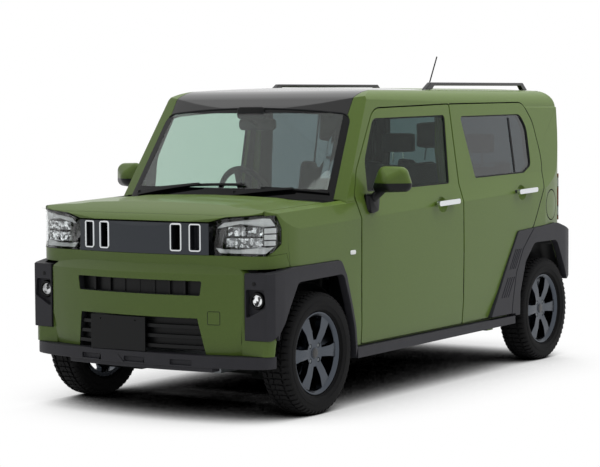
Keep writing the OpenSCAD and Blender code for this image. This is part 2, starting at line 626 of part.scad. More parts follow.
// Front bumper, its grille, the corner cladding and the skid
bumper_x = 585;
bumper_bow = 2.52e-4;
function bumper_plan_half(d) = concat([[bumper_x - d, y_fa - 300], [bumper_x - d, y_fa - 416 + d],
    [bumper_x - 5 - d, y_fa - 429 + d], [bumper_x - 16 - d, y_fa - 436 + d]],
    [for (x = [500:-50:0]) [x, y_fa - 519 + d + bumper_bow * x * x]]);
slot_z = [600, 669];
bumper_wall = 42;
opening_half = [[392, 200], [382, 325], [350, 492]];
// Layers of the bumper's face: how far back each lies, from z, to z
bumper_layers = [[16, skid_z + seam, 330], [0, 470, 702], [56, 752, 766]];
module bumper_face() difference() {
    hull() for (t = bumper_layers) plan_prism(whole(bumper_plan_half(t[0])), t[1], t[2]);
    plan_prism(whole(bumper_plan_half(bumper_wall)), 0, 740);
    block([-900, 900], [y_fa - 330, far], [0, 2000]);
    section_prism(rounded([[-362, slot_z[0], 8], [362, slot_z[0], 8], [372, slot_z[1], 8],
        [-372, slot_z[1], 8]]), -far, 0);
    section_prism(whole(opening_half), -far, 0);
    nose(bumper_wall);
}
// Below the corner cladding the bumper runs on round the corner to the wheel opening
module bumper_flank() difference() {
    plan_prism(concat([[bumper_x - 25, y_fa - 392], [bumper_x - 25, y_fa - 424],
        [bumper_x + 30, y_fa - 424]],
        smooth([[half_w - 60, y_fa - 420], [half_w - 34, y_fa - 408], [half_w - 24, y_fa - 380]]),
        [[half_w - 22, y_fa - 345], [half_w - 60, y_fa - 345], [half_w - 72, y_fa - 374]]),
            skid_z + seam, 480);
    side_prism(inset(front_clad, -seam), bumper_x, 900);
    side_prism(front_wheel_open, 300, 900);
}
module front_bumper() color(green) union() {
    bumper_face();
    both_sides() bumper_flank();
    difference() {
        intersection() {
            nose(0);
            side_prism(band_side, -900, 900);
        }
        nose(bumper_wall);
        both_sides() side_prism(inset(front_clad, -seam), 300, 900);
    }
}
plate_x = -100;
plate_z = 404;
plate_y = y_nose + 8;
module bumper_grille() color(black) union() {
    difference() {
        plan_prism(whole(bumper_plan_half(bumper_wall + seam)), 336, 690);
        plan_prism(whole(bumper_plan_half(bumper_wall + 24)), 0, 2000);
        block([-900, 900], [y_fa - 400, far], [0, 2000]);
    }
    for (x = [-270:90:270]) block([x - 6, x + 6], [y_fa - 480, y_fa - 425],
        [slot_z[0] + seam, slot_z[1] - seam]);
    intersection() {
        union() for (z = [352, 400, 448]) plan_prism(whole(bumper_plan_half(14)), z - 9, z + 9);
        section_prism(inset(whole(opening_half), 1), -far, y_fa - 400);
    }
    difference() {
        union() {
            block([plate_x - 60, plate_x + 60], [plate_y + 6, y_fa - 440], [plate_z - 40, plate_z + 40]);
            block([plate_x - plate_w / 2, plate_x + plate_w / 2], [plate_y, plate_y + 8],
                [plate_z - plate_h / 2, plate_z + plate_h / 2]);
        }
        for (s = [-1, 1]) translate([plate_x + s * plate_bolts / 2, plate_y + 40,
            plate_z + plate_h / 2 - 18])
            rotate([90, 0, 0]) cylinder(r = plate_hole_r, h = 80);
    }
}
skid_bow = 1.7e-4;
skid_slots = [-270, 0, 270];
function skid_plan_half(d) = concat([[710 - d, y_fa - 352]],
    smooth([[706 - d, y_fa - 376], [690 - d, y_fa - 418 + d * 0.4], [620 - d * 0.5, y_fa - 456 + d],
        [500, y_nose + d + skid_bow * 250000]]),
    [for (x = [440:-55:0]) [x, y_nose + d + skid_bow * x * x]]);
module front_skid() color(dark) union() {
    difference() {
        plan_prism(whole(skid_plan_half(0)), 262, skid_z);
        plan_prism(whole(skid_plan_half(64)), 0, 400);
        for (x = skid_slots) block([x - 60, x + 60], [-far, y_fa - 496], [270, 294]);
    }
    intersection() {
        plan_prism(whole(skid_plan_half(16)), 240, 300);
        block([-430, 430], [-far, y_fa - 420], [0, 400]);
    }
    block([-560, 560], [y_fa - 455, y_fa - 360], [262, 280]);
}
clad_plan_half = [[half_w, y_ra + 240], [half_w - 6, y_ra + 290], [half_w - 24, y_ra + 350],
    [half_w - 60, y_ra + 385], [tail_x + seam, y_ra + 400]];
module front_corner() difference() {
    intersection() {
        side_prism(front_clad, 560, half_w);
        plan_prism([[half_w, far], [half_w, y_fa - 320], [half_w - 10, y_fa - 388],
            [half_w - 34, y_fa - 424],
            [bumper_x + seam, y_fa - 436], [bumper_x + seam, y_fa - 390], [half_w - 70, y_fa - 380],
            [half_w - 42, y_fa - 330], [half_w - 42, far]], 0, 900);
    }
    side_prism(front_wheel_open, 300, 900);
    // Fog lamp pocket
    section_prism(rounded([[592, 500, 8], [696, 552, 8], [688, 636, 8], [592, 636, 8]]), -far, y_fa - 402);
    translate([fog_x, y_fa - 300, fog_z]) rotate([90, 0, 0]) cylinder(r = fog_r, h = 110);
}
module sill() side_prism([[y_fa + 336, sill_z - 8], [y_fa + 336, sill_z - 62], [y_ra - 398, sill_z - 52],
    [y_ra - 400, sill_z - 8]],
    skin_x - 34 + seam, half_w);
module rear_corner() difference() {
    intersection() {
        side_prism(rear_clad, tail_x, half_w);
        plan_prism(concat([[half_w, 0]], clad_plan_half, [[tail_x + seam, y_ra + 366],
            [half_w - 74, y_ra + 350], [half_w - 40, y_ra + 290], [skin_x - clad_in + seam, y_ra + 230],
            [skin_x - clad_in + seam, 0]]), 0, 900);
    }
    side_prism(rear_wheel_open, 300, 900);
    side_prism(inset(rear_opening, -shut_gap / 2), 300, 900);
    block([300, 900], [-far, y_ra - 300], [0, sill_z - 7]);
    block([300, 900], [-far, y_ra - 480], [0, 2000]);
}
module body_cladding() color(dark) both_sides() { front_corner(); sill(); rear_corner(); }
// The cladding ahead of the rear wheel rides on the rear door, in a pocket of its skin
door_clad_in = 22;
// Two groups of slanted slots; columns: y ahead of the axle, z, spacing
slot_rows = [[-575, 405, 26], [-478, 560, 22]];
slot_lean = [78, 110];
arch_slot_w = 12;
module arch_door() color(dark) difference() {
    intersection() {
        side_prism(rear_clad, skin_x - door_clad_in + seam, half_w);
        side_prism(inset(rear_opening, shut_gap / 2), 300, 900);
        block([300, 900], [rear_lead, far], [sill_z + 8, 900]);
    }
    side_prism(rear_wheel_open, 300, 900);
    for (t = slot_rows, i = [0:3]) let (a = [y_ra + t[0] + t[2] * i, t[1]], w = [arch_slot_w, 0])
        side_prism([a, a + w, a + w + slot_lean, a + slot_lean], half_w - 5, 900);
}
module arch_door_left() arch_door();
module arch_door_right() mirror([1, 0, 0]) arch_door();

// Rear bumper and tail lamps
function tail_plan_half(d, y0) = [[tail_x - d, y0], [tail_x - d, y_ra + 376 - d],
    [tail_x - 42 - d, y_ra + 394 - d], [400, y_tail - 4 - d], [60, y_tail - d]];
module rear_bumper() color(green) difference() {
    intersection() {
        plan_prism(whole(tail_plan_half(0, y_ra + 340)), 330, 634);
        side_prism([[y_ra + 200, 330], [y_tail - 40, 330], [y_tail, 470], [y_tail, 560],
            [y_tail - 20, 634], [y_ra + 200, 634]], -900, 900);
    }
    plan_prism(whole(tail_plan_half(48, 0)), 0, 610);
    section_prism(rounded([[-420, 300, 0], [420, 300, 0], [360, 430, 20], [-360, 430, 20]]),
        y_tail - 24, far);
}
tail_light_x = 614;
module tail_light_zone(d) intersection() {
    section_prism([[tail_light_x - d, 804 - d], [900, 804 - d], [900, 1080 + d],
        [tail_light_x - d, 1080 + d]], y_tail - 140 - d, far);
    plan_prism([[tail_light_x - d, y_tail - 132 - d], [660, y_tail - 132 - d], [900, y_tail - 108 - d],
        [900, far], [tail_light_x - d, far]], 0, 2000);
}
module tail_lamps() color("#8a1f1f") both_sides() difference() {
    intersection() { cabin(-8, -8, -8, 0, 0); tail_light_zone(0); }
    cabin(70, 70, 70, 0, 0);
}

// Scuttle panel and wipers; columns: post x, post y behind the scuttle edge, blade from x to x,
// height up the glass, post foot z
wiper_rows = [[-553, 97, -420, 130, 50, 1021], [94, 42, 230, 600, 48, 1033]];
post_r = 7;
post_h = 34;
wiper_eye_r = 14;
module wiper_post(t, r, sink) translate([t[0], y_scuttle + t[1], t[5] - sink]) cylinder(r = r,
    h = post_h + sink);
// A flat strip that follows the glass, from d0 to d1 ahead of it
module screen_strip(d0, d1, pts) intersection() {
    difference() { behind_screen(d0); behind_screen(d1); }
    screen() rotate([90, 0, 0]) translate([0, 0, -300]) linear_extrude(600) polygon(pts);
}
// Where a wiper's post meets the glass's own height scale
function screen_s(t) = (y_scuttle + t[1] - screen_y
    + (20 - t[0] * t[0] / 2 / screen_r) * cos(screen_lean)) / sin(screen_lean);
function arm_outline(t) = concat(arc(t[0], screen_s(t), wiper_eye_r, 90, 270, 8),
    [[(t[2] + t[3]) / 2, t[4] - 2], [(t[2] + t[3]) / 2, t[4] + 10]]);
module wiper(t) difference() {
    union() {
        screen_strip(-15, -3, [[t[2], t[4] - 4], [t[3], t[4] + 6], [t[3], t[4] + 16], [t[2], t[4] + 6]]);
        screen_strip(-27, -12, arm_outline(t));
    }
    wiper_post(t, post_r + pin_play, 20);
}
module cowl_panel() color(black) union() {
    difference() {
        intersection() {
            side_prism([[y_scuttle, 985], [y_scuttle, 1026], [y_scuttle + 30, 1035],
                [y_scuttle + 170, 1040], [y_scuttle + 170, 985]],
                4 - bonnet_x, bonnet_x - 4);
            raked() section_prism(whole([[bonnet_x, 900], [bonnet_x, crease_z + 86],
                [560, crease_z + 99], [60, crease_z + 117]]));
        }
        behind_screen(-seam);
        both_sides() block([skin_x - 150 - seam, 900], [y_fire - seam, far], [0, 2000]);
        for (t = wiper_rows) {
            wiper_post(t, wiper_eye_r + 8, 0);
            screen_strip(-30, -9, inset(arm_outline(t), -3));
        }
    }
    for (t = wiper_rows) wiper_post(t, post_r, 2);
}
module wipers() color(black) for (t = wiper_rows) wiper(t);

// Platform: floor, firewall, strut towers and bonnet hinge brackets
kpi = 13.5;
ball_x = wheel_x - 25;
ball_z = 165;
top_z = bonnet_pin_z - 156;
strut_h = (top_z - ball_z) / cos(kpi);
module steer() translate([ball_x, y_fa, ball_z]) rotate([0, -kpi, 0]) children();
top_x = ball_x - strut_h * sin(kpi);
liner_r = 340;
module wheel_arch(y, r, x0, x1, z0) intersection() {
    translate([x0, y, axle_z]) rotate([0, 90, 0]) cylinder(r = r, h = x1 - x0);
    block([x0, x1], [-far, far], [z0, 2000]);
}
module floor_pan() color(dark) difference() {
    union() {
        side_prism([[y_fire - 30, floor_z], [y_ra - 500, floor_z], [y_ra - 410, 400],
            [y_tail - 120, 400], [y_tail - 120, 430],
            [y_ra - 430, 430], [y_ra - 520, 284], [y_fire, 284], [y_fire, 960],
                [y_fire - 30, 960]], -skin_x + 170 + seam, skin_x - 170 - seam);
        both_sides() {
            block([top_x - 45, top_x + 45], [y_fa - 330, y_fire - 10], [top_z - 6, top_z + 30]);
            block([bonnet_arm_x - 12, bonnet_arm_x + 12], [bonnet_pin_y - 7, y_fire - 10],
                [bonnet_pin_z - 86, bonnet_pin_z - 66]);
            difference() {
                union() {
                    block([bonnet_arm_x - 12, bonnet_arm_x + 12], [bonnet_pin_y - 7, bonnet_pin_y + 7],
                        [bonnet_pin_z - 86, bonnet_pin_z]);
                    translate([bonnet_arm_x - 12, bonnet_pin_y, bonnet_pin_z]) rotate([0, 90,
                        0]) cylinder(r = lift_eye_r, h = 24);
                }
                translate([bonnet_arm_x - 30, bonnet_pin_y, bonnet_pin_z]) rotate([0, 90,
                    0]) cylinder(r = pin_r + pin_play, h = 60);
            }
            // Crash rails carry the bumper
            block([330, 388], [y_fa - 390, y_fire - 10], [430, 500]);
        }
        block([-388, 388], [y_fa - 390, y_fa - 360], [430, 500]);
    }
    both_sides() {
        wheel_arch(y_ra, 334 + seam, 520, 900, 0);
        wheel_arch(y_fa, liner_r + 4 + seam, 396 - seam, 900, 0);
        steer() translate([0, 0, strut_h - 60]) cylinder(r = 8 + pin_play, h = 140);
    }
}
module wheel_liners() color(black) both_sides() {
    difference() {
        wheel_arch(y_fa, liner_r + 4, 396, 690, 300);
        wheel_arch(y_fa, liner_r, 400, 900, 0);
        steer() cylinder(r = 40, h = 900);
        side_prism(front_clad, 640, 900);
    }
    difference() {
        union() {
            wheel_arch(y_ra, 334, 520 + seam, 612, 300);
            intersection() {
                side_prism(inset(rear_wheel_open, seam), 608, skin_x - clad_in - 1);
                block([600, 900], [-far, far], [300, 900]);
            }
        }
        wheel_arch(y_ra, 330, 524, 612, 0);
        side_prism(inset(rear_wheel_open, seam + 4), 612, 900);
        block([0, 560], [-far, y_ra + 60], [0, 372]);
    }
}

// Running gear
module knuckle_left() color(silver) union() {
    steer() {
        translate([0, 0, -12]) cylinder(r = 9, h = 60);
        translate([0, 0, 34]) cylinder(r = 17, h = 40);
        translate([0, 0, 250]) cylinder(r = 20, h = 300);
        translate([0, 0, 470]) cylinder(r = 34, h = 8);
        translate([0, 0, 500]) cylinder(r = 13, h = strut_h - 500 - 16);
        translate([0, 0, strut_h - 20]) cylinder(r = 8, h = 60);
    }
    side_prism(rounded([[y_fa - 26, 200, 8], [y_fa + 26, 200, 8], [y_fa + 40, axle_z, 20],
        [y_fa + 24, 440, 8], [y_fa - 24, 440, 8], [y_fa - 40, axle_z, 20]]),
        wheel_x - 108, wheel_x - 58);
    block([wheel_x - 100, wheel_x - 22], [y_fa - 16, y_fa + 16], [196, 222]);
    translate([wheel_x - 70, y_fa, axle_z]) rotate([0, 90, 0]) cylinder(r = spindle_r, h = 92);
}
module knuckle_right() mirror([1, 0, 0]) knuckle_left();
module front_subframe() color(black) union() {
    block([-380, 380], [y_fa - 60, y_fa + 160], [180, 214]);
    both_sides() {
        difference() {
            union() {
                block([370, ball_x - 4], [y_fa - 22, y_fa + 22], [152, 176]);
                block([340, 400], [y_fa - 22, y_fa + 22], [152, 190]);
                steer() translate([0, 0, -14]) cylinder(r = 20, h = 26);
            }
            steer() translate([0, 0, -60]) cylinder(r = 9 + pin_play, h = 140);
        }
        block([330, 384], [y_fa + 100, y_fire - 31], [214 - 10, 249]);
        block([330, 384], [y_fire - 60, y_fire - 31], [214, 429.6]);
    }
}
module engine() color(silver) block([-372, 372], [y_fa - 330, y_fa + 95], [214.4, 429.6]);
module rear_axle() color(black) union() {
    translate([-505, y_ra - 190, 255]) rotate([0, 90, 0]) cylinder(r = 34, h = 1010);
    both_sides() {
        side_prism(rounded([[y_ra - 396, 290, 16], [y_ra - 180, 215, 20], [y_ra + 40, axle_z - 30, 20],
            [y_ra + 40, axle_z + 30, 20],
            [y_ra - 180, 295, 20], [y_ra - 396, 345, 16]]), 468, 512);
        block([468, 512], [y_ra - 396, y_ra - 350], [320, 399.6]);
        translate([500, y_ra, axle_z]) rotate([0, 90, 0]) cylinder(r = 44, h = 60);
        translate([558, y_ra, axle_z]) rotate([0, 90, 0]) cylinder(r = 98, h = 34);
        translate([590, y_ra, axle_z]) rotate([0, 90, 0]) cylinder(r = spindle_r, h = wheel_x + 22 - 590);
    }
}
pipe_r = 22;
pipe_z = floor_z - pipe_r - seam;
// Exhaust route along the car: [y, z] of each bend
pipe_bends = [[y_fa + 170, pipe_z], [y_ra - 470, pipe_z], [y_ra - 340, 345], [y_ra + 140, 345]];
pipe_x = 120;
module exhaust() color(silver) union() {
    for (i = [0:len(pipe_bends) - 2])
        let (a = pipe_bends[i], d = pipe_bends[i + 1] - a)
        translate([pipe_x, a[0], a[1]]) rotate([atan2(d[1], d[0]) - 90, 0, 0]) cylinder(r = pipe_r,
            h = norm(d));
    for (b = [pipe_bends[1], pipe_bends[2]]) translate([pipe_x, b[0], b[1]]) sphere(r = pipe_r + 2);
    translate([pipe_x - 40, y_ra + 200, 330]) rotate([0, 90, 0]) cylinder(r = 68, h = 300);
    translate([pipe_x + 220, y_ra + 200, 290]) rotate([-98, 0, 0]) cylinder(r = pipe_r, h = 190);
}
module fuel_tank() color(black) block([-420, 60], [y_ra - 760, y_ra - 520], [196, 247.6]);

// Wheels stand about the Z axis with the outer face up, then turn to their axle
bead_r = rim_d / 2;
tyre_r = tyre_d / 2;
tw = tyre_w / 2;
module on_axle(y) translate([wheel_x, y, axle_z]) rotate([0, 90, 0]) children();
spoke_half = [[20, 20], [60, 22], [130, 27], [bead_r - 4, 38]];
module rim() difference() {
    union() {
        rotate_extrude($fn = 96) polygon([[bead_r - 12, -63], [bead_r + 11, -63], [bead_r + 11, -57.5],
            [bead_r - 0.3, -56], [bead_r - 0.3, 56],
            [bead_r + 11, 57.5], [bead_r + 11, 62], [bead_r + 4, 63], [bead_r - 8, 52], [bead_r - 12, 44]]);
        intersection() {
            rotate_extrude($fn = 96) polygon([[0, 10], [bead_r - 6, 18], [bead_r - 6, 50], [120, 53],
                [48, 44], [0, 44]]);
            union() {
                for (i = [0:spokes - 1]) rotate([0, 0, i * 360 / spokes + 30]) linear_extrude(80)
                    polygon(concat(spoke_half, [for (p = back(spoke_half)) [p[0], -p[1]]]));
                cylinder(r = 66, h = 80);
            }
        }
        translate([0, 0, 40]) cylinder(r = 27, h = 8);
        translate([0, 0, -12]) cylinder(r = 58, h = 32);
        translate([0, 0, -12]) cylinder(r = 116, h = 8);
    }
    translate([0, 0, -80]) cylinder(r = spindle_r + pin_play, h = 110);
    for (i = [0:3]) rotate([0, 0, 45 + 90 * i]) translate([bolt_circle / 2, 0, 30]) cylinder(r = 11,
        h = 60, $fn = 32);
}
// Half of the tyre's section, from the inner bead to the tread's middle, as [radius, offset from the mid plane]
tyre_half = [[bead_r + 0.2, 55.6], [bead_r + 13.5, 55.6], [bead_r + 15.5, 62], [bead_r + 22, tw - 8],
    [tyre_r - 52, tw],
    [tyre_r - 24, tw - 3], [tyre_r - 8, tw - 14], [tyre_r - 2, tw - 26], [tyre_r, tw - 40]];
module tyre() rotate_extrude($fn = 96)
    polygon(concat(tyre_half, back([for (p = tyre_half) [p[0], -p[1]]])));
module rim_front_left() color("#5a6068") on_axle(y_fa) rim();
module rim_rear_left() color("#5a6068") on_axle(y_ra) rim();
module rim_front_right() mirror([1, 0, 0]) rim_front_left();
module rim_rear_right() mirror([1, 0, 0]) rim_rear_left();
module tyre_front_left() color(black) on_axle(y_fa) tyre();
module tyre_rear_left() color(black) on_axle(y_ra) tyre();
module tyre_front_right() mirror([1, 0, 0]) tyre_front_left();
module tyre_rear_right() mirror([1, 0, 0]) tyre_rear_left();

// Cabin: dashboard with column stub, steering wheel, seats
wheel_tilt = 25;
helm_x = -320;
helm_y = y_a + 530;
helm_z = 1005;
helm_r = 182;
module helm() translate([helm_x, helm_y, helm_z]) rotate([-90 + wheel_tilt, 0, 0]) children();
module dashboard() color(black) difference() {
    union() {
        side_prism(rounded([[y_fire + 3, 985, 20], [y_fire + 3, 700, 0], [y_a + 120, 640, 60],
            [y_a + 250, 780, 60], [y_a + 270, 960, 60], [y_a + 160, 1046, 60],
            [y_fire + 40, 1040, 10]]), -560, 560);
        helm() translate([0, 0, -340]) cylinder(r = 32, h = 250);
        block([-90, 90], [y_a + 60, y_b - 320], [300, 660]);
        block([-90, 90], [y_fire + seam, y_a + 100], [284.4, 700]);
    }
    helm() translate([0, 0, -380]) cylinder(r = 12 + pin_play, h = 400);
    behind_out();
}
module behind_out() difference() { block([-900, 900], [-far, y_a + 200], [980, 1500]); behind_screen(14); }
module steering_wheel() color(black) union() {
    helm() {
        rotate_extrude($fn = 72) translate([helm_r, 0]) circle(r = 14, $fn = 24);
        translate([0, 0, -52]) cylinder(r = 58, h = 40);
        for (a = [0, 180, 270]) rotate([0, 0, a]) translate([0, -16, -34]) cube([helm_r, 32, 14]);
        for (a = [0, 180, 270]) rotate([0, 0, a]) translate([helm_r - 12, -16, -34]) cube([20, 32, 34]);
        translate([0, 0, -180]) cylinder(r = 12, h = 140);
    }
}
// Seats are drawn for this wheelbase and keep their share of any other
seat_wheelbase = 2460;
room = wheelbase / seat_wheelbase;
function seated(pts, y) = [for (p = pts) [p[0] * room + y, p[1]]];
seat_x = 330;
floor_top = 284 + seam;
seat_side = rounded([[-320, 520, 50], [-320, 640, 60], [120, 640, 20], [195, 700, 20], [300, 1210, 50],
    [400, 1210, 50], [330, 640, 60], [260, 520, 30]]);
rest_side = rounded([[340, 1240, 30], [340, 1400, 40], [420, 1400, 40], [420, 1240, 30]]);
rest_post = [[372, 1190], [384, 1190], [390, 1260], [378, 1260]];
module front_seats() color(dark) for (s = [-1, 1]) translate([s * seat_x, 0, 0]) {
    side_prism(seated(seat_side, y_b), -225, 225);
    side_prism(seated([[-300, floor_top], [140, floor_top], [140, 540], [-300, 540]], y_b), -200, 200);
    side_prism(seated(rest_side, y_b), -120, 120);
    for (x = [-50, 50]) side_prism(seated(rest_post, y_b), x - 6, x + 6);
}
deck_top = 430 + seam;
bench_side = rounded([[-470, deck_top, 0], [-520, 520, 40], [-520, 660, 60], [-100, 640, 20],
    [-30, 1170, 40],
    [60, 1170, 40], [-10, 620, 30], [-10, deck_top, 0]]);
rear_rest_side = rounded([[-25, 1195, 26], [-25, 1330, 36], [50, 1330, 36], [50, 1195, 26]]);
module rear_seat() color(dark) {
    side_prism(seated(bench_side, y_ra), -510, 510);
    for (x = [-270, 270]) {
        side_prism(seated(rear_rest_side, y_ra), x - 120, x + 120);
        side_prism(seated([[2, 1160], [14, 1160], [14, 1210], [2, 1210]], y_ra), x - 40, x + 40);
    }
}

floor_pan();
body_sides();
roof_panel();
roof_glass();
windscreen();
cowl_panel();
wipers();
front_fenders();
bonnet();
front_bumper();
bumper_grille();
front_skid();
grille_panel();
front_lamps();
body_cladding();
wheel_liners();
rear_bumper();
tail_lamps();
roof_rails();
antenna();
tailgate();
tailgate_glass();
door_front_left();
door_front_right();
glass_front_left();
glass_front_right();
mirror_left();
mirror_right();
door_rear_left();
door_rear_right();
glass_rear_left();
glass_rear_right();
arch_door_left();
arch_door_right();
fuel_flap();
dashboard();
steering_wheel();
front_seats();
rear_seat();
engine();
front_subframe();
rear_axle();
exhaust();
fuel_tank();
knuckle_left();
knuckle_right();
rim_front_left();
rim_front_right();
rim_rear_left();
rim_rear_right();
tyre_front_left();
tyre_front_right();
tyre_rear_left();
tyre_rear_right();
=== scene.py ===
"""Finish, trim, lamps, wheels and cabin of a small tall five-door car, laid out as an add-on."""

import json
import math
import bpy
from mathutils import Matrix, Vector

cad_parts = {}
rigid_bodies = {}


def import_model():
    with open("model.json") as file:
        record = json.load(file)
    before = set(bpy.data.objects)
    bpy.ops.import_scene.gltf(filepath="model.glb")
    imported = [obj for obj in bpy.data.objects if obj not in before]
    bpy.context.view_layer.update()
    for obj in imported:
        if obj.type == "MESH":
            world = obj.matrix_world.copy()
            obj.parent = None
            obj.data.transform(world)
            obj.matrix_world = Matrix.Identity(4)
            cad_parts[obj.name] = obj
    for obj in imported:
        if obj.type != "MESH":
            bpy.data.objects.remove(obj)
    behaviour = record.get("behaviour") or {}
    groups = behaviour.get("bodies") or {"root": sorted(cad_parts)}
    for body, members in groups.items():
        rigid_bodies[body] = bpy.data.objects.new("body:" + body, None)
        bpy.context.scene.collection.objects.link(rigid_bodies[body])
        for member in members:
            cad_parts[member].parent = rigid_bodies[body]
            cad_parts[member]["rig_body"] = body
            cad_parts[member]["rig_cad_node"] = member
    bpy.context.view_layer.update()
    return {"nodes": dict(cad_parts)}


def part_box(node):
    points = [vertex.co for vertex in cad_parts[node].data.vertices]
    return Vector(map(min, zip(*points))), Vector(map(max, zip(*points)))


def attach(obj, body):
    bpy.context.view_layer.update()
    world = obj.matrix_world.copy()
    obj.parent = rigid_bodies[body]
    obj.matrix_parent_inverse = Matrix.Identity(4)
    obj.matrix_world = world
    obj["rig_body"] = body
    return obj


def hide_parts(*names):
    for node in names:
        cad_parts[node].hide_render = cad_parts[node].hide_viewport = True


bl_info = {
    "name": "Kei car finish",
    "version": (1, 0, 0),
    "blender": (4, 5, 0),
    "location": "View3D > Sidebar > Car",
    "description": "Dresses the car's solids with paint, glass, lamps, tyres and seats",
    "category": "Object",
}

import bpy
from mathutils import Vector

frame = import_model()
NODES = frame["nodes"]
SIDES = {"left": 1, "right": -1}
MM = 0.001
# Points closer than this are one, on new pieces and on solids, and faces within this angle are flat.
MERGE, SOLID_MERGE, FLAT = 0.05 * MM, 0.02 * MM, math.radians(0.4)


# Small helpers


def linear(code):
    """An sRGB hex colour as linear RGBA."""
    parts = [int(code[i : i + 2], 16) / 255 for i in (1, 3, 5)]
    return [c / 12.92 if c < 0.04045 else ((c + 0.055) / 1.055) ** 2.4 for c in parts] + [1.0]


def darker(code, share):
    """An sRGB hex colour as linear RGBA, dimmed to a share of its light."""
    return [c * share for c in linear(code)[:3]] + [1.0]


def node(tree, kind, sockets=None, **settings):
    """Adds a shader node; sockets maps an input to a value, an output or a node, for its first output."""
    made = tree.nodes.new("ShaderNode" + kind)
    for key, value in settings.items():
        setattr(made, key, value)
    for key, value in (sockets or {}).items():
        if isinstance(value, bpy.types.Node):
            value = next(out for out in value.outputs if not out.is_unavailable)
        if isinstance(value, bpy.types.NodeSocket):
            tree.links.new(value, made.inputs[key])
        else:
            made.inputs[key].default_value = value
    return made


def new_material(name):
    """An empty node material, its tree and the piece's own coordinates."""
    made = bpy.data.materials.new(name)
    made.use_nodes = True
    tree = made.node_tree
    tree.nodes.clear()
    place = node(tree, "TexCoord").outputs["Object"]
    return made, tree, place


def shade(made, sockets):
    """Ends a material with one Principled shader; gives the material."""
    tree = made.node_tree
    node(tree, "OutputMaterial", {"Surface": node(tree, "BsdfPrincipled", sockets)})
    return made


def two_tone(tree, blend, dark, light, height, strength, depth):
    """Colour and normal of a surface that varies between two tones and rises by depth in mm."""
    tone = node(tree, "Mix", {"Factor": blend, "A": dark, "B": light}, data_type="RGBA")
    bump = node(tree, "Bump", {"Height": height, "Strength": strength, "Distance": depth * MM})
    return {"Base Color": tone, "Normal": bump}


def mm(*values):
    """A place or step given in millimetres."""
    return tuple(value * MM for value in values)


def per_mm(size):
    """A texture scale whose cells are about size millimetres wide; a wave repeats at 0.31 of that."""
    return 1 / (size * MM)


def free():
    """Object mode with nothing selected."""
    if bpy.context.object and bpy.context.object.mode != "OBJECT":
        bpy.ops.object.mode_set(mode="OBJECT")
    bpy.ops.object.select_all(action="DESELECT")


def only(piece):
    """Selects one piece and makes it active."""
    free()
    piece.select_set(True)
    bpy.context.view_layer.objects.active = piece


def edit(piece):
    """Enters edit mode with everything selected."""
    only(piece)
    bpy.ops.object.mode_set(mode="EDIT")
    bpy.ops.mesh.select_all(action="SELECT")


def modify(piece, kind, **settings):
    """Adds a modifier and applies it."""
    only(piece)
    made = piece.modifiers.new(kind.title(), kind)
    for key, value in settings.items():
        setattr(made, key, value)
    bpy.ops.object.modifier_apply(modifier=made.name)


def wire(name, points):
    """Edges drawn from point to point by extruding one vertex; left in edit mode, all selected."""
    free()
    bpy.ops.mesh.primitive_plane_add(size=1)
    piece = bpy.context.object
    piece.name = name
    bpy.ops.object.mode_set(mode="EDIT")
    bpy.ops.mesh.select_mode(type="VERT")
    bpy.ops.mesh.select_all(action="SELECT")
    bpy.ops.mesh.merge(type="CENTER")
    bpy.ops.transform.translate(value=points[0])
    for a, b in zip(points, points[1:]):
        step = Vector(b) - Vector(a)
        bpy.ops.mesh.extrude_region_move(TRANSFORM_OT_translate={"value": step})
    bpy.ops.mesh.select_all(action="SELECT")
    return piece


def plate(name, points, thick, edge=0, segments=2):
    """A flat outline filled and extruded by the vector thick, its edges rounded by edge mm."""
    piece = wire(name, points)
    bpy.ops.mesh.edge_face_add()
    bpy.ops.mesh.extrude_region_move(TRANSFORM_OT_translate={"value": thick})
    outward(piece)
    if edge:
        modify(piece, "BEVEL", width=edge * MM, segments=segments, limit_method="ANGLE")
    return piece


def spun(name, points, axis, steps):
    """A profile turned once round an axis through the origin."""
    piece = wire(name, points)
    bpy.ops.mesh.spin(steps=steps, angle=math.tau, center=(0, 0, 0), axis=axis)
    bpy.ops.mesh.select_all(action="SELECT")
    bpy.ops.mesh.remove_doubles(threshold=MERGE)
    outward(piece)
    return piece


def spread(piece, count, axis):
    """Repeats a mesh round an axis through the origin, count times in all."""
    edit(piece)
    turn = math.tau * (count - 1) / count
    bpy.ops.mesh.spin(steps=count - 1, angle=turn, dupli=True, center=(0, 0, 0), axis=axis)
    free()


def rod(piece, radius):
    """Turns a piece's edges into a round rod."""
    only(piece)
    bpy.ops.object.convert(target="CURVE")
    piece.data.bevel_depth = radius
    piece.data.bevel_resolution = 2
    piece.data.use_fill_caps = True
    bpy.ops.object.convert(target="MESH")
    outward(piece)
    return piece


def tube(name, points, radius, closed=False):
    """A round rod along points."""
    piece = wire(name, points + points[:1] if closed else points)
    bpy.ops.mesh.remove_doubles(threshold=MERGE)
    return rod(piece, radius)


def pick(piece, test):
    """Enters edit mode with only the faces that pass the test selected."""
    only(piece)
    bpy.ops.object.mode_set(mode="EDIT")
    bpy.ops.mesh.select_mode(type="FACE")
    bpy.ops.mesh.select_all(action="DESELECT")
    bpy.ops.object.mode_set(mode="OBJECT")
    for face in piece.data.polygons:
        face.select = test(face)
    bpy.ops.object.mode_set(mode="EDIT")


def strip(piece, test):
    """Deletes the faces that pass the test."""
    pick(piece, test)
    bpy.ops.mesh.delete(type="FACE")
    free()


def shift(piece, move):
    """Moves the piece's mesh and leaves its object at the origin."""
    only(piece)
    piece.location = move
    bpy.ops.object.transform_apply()


def twin(piece, name):
    """A copy with its own mesh."""
    only(piece)
    bpy.ops.object.duplicate()
    made = bpy.context.object
    made.name = name
    return made


def mirrored(piece, name):
    """A copy on the car's other side."""
    made = twin(piece, name)
    made.scale.x = -1
    bpy.ops.object.transform_apply()
    outward(made)
    return made


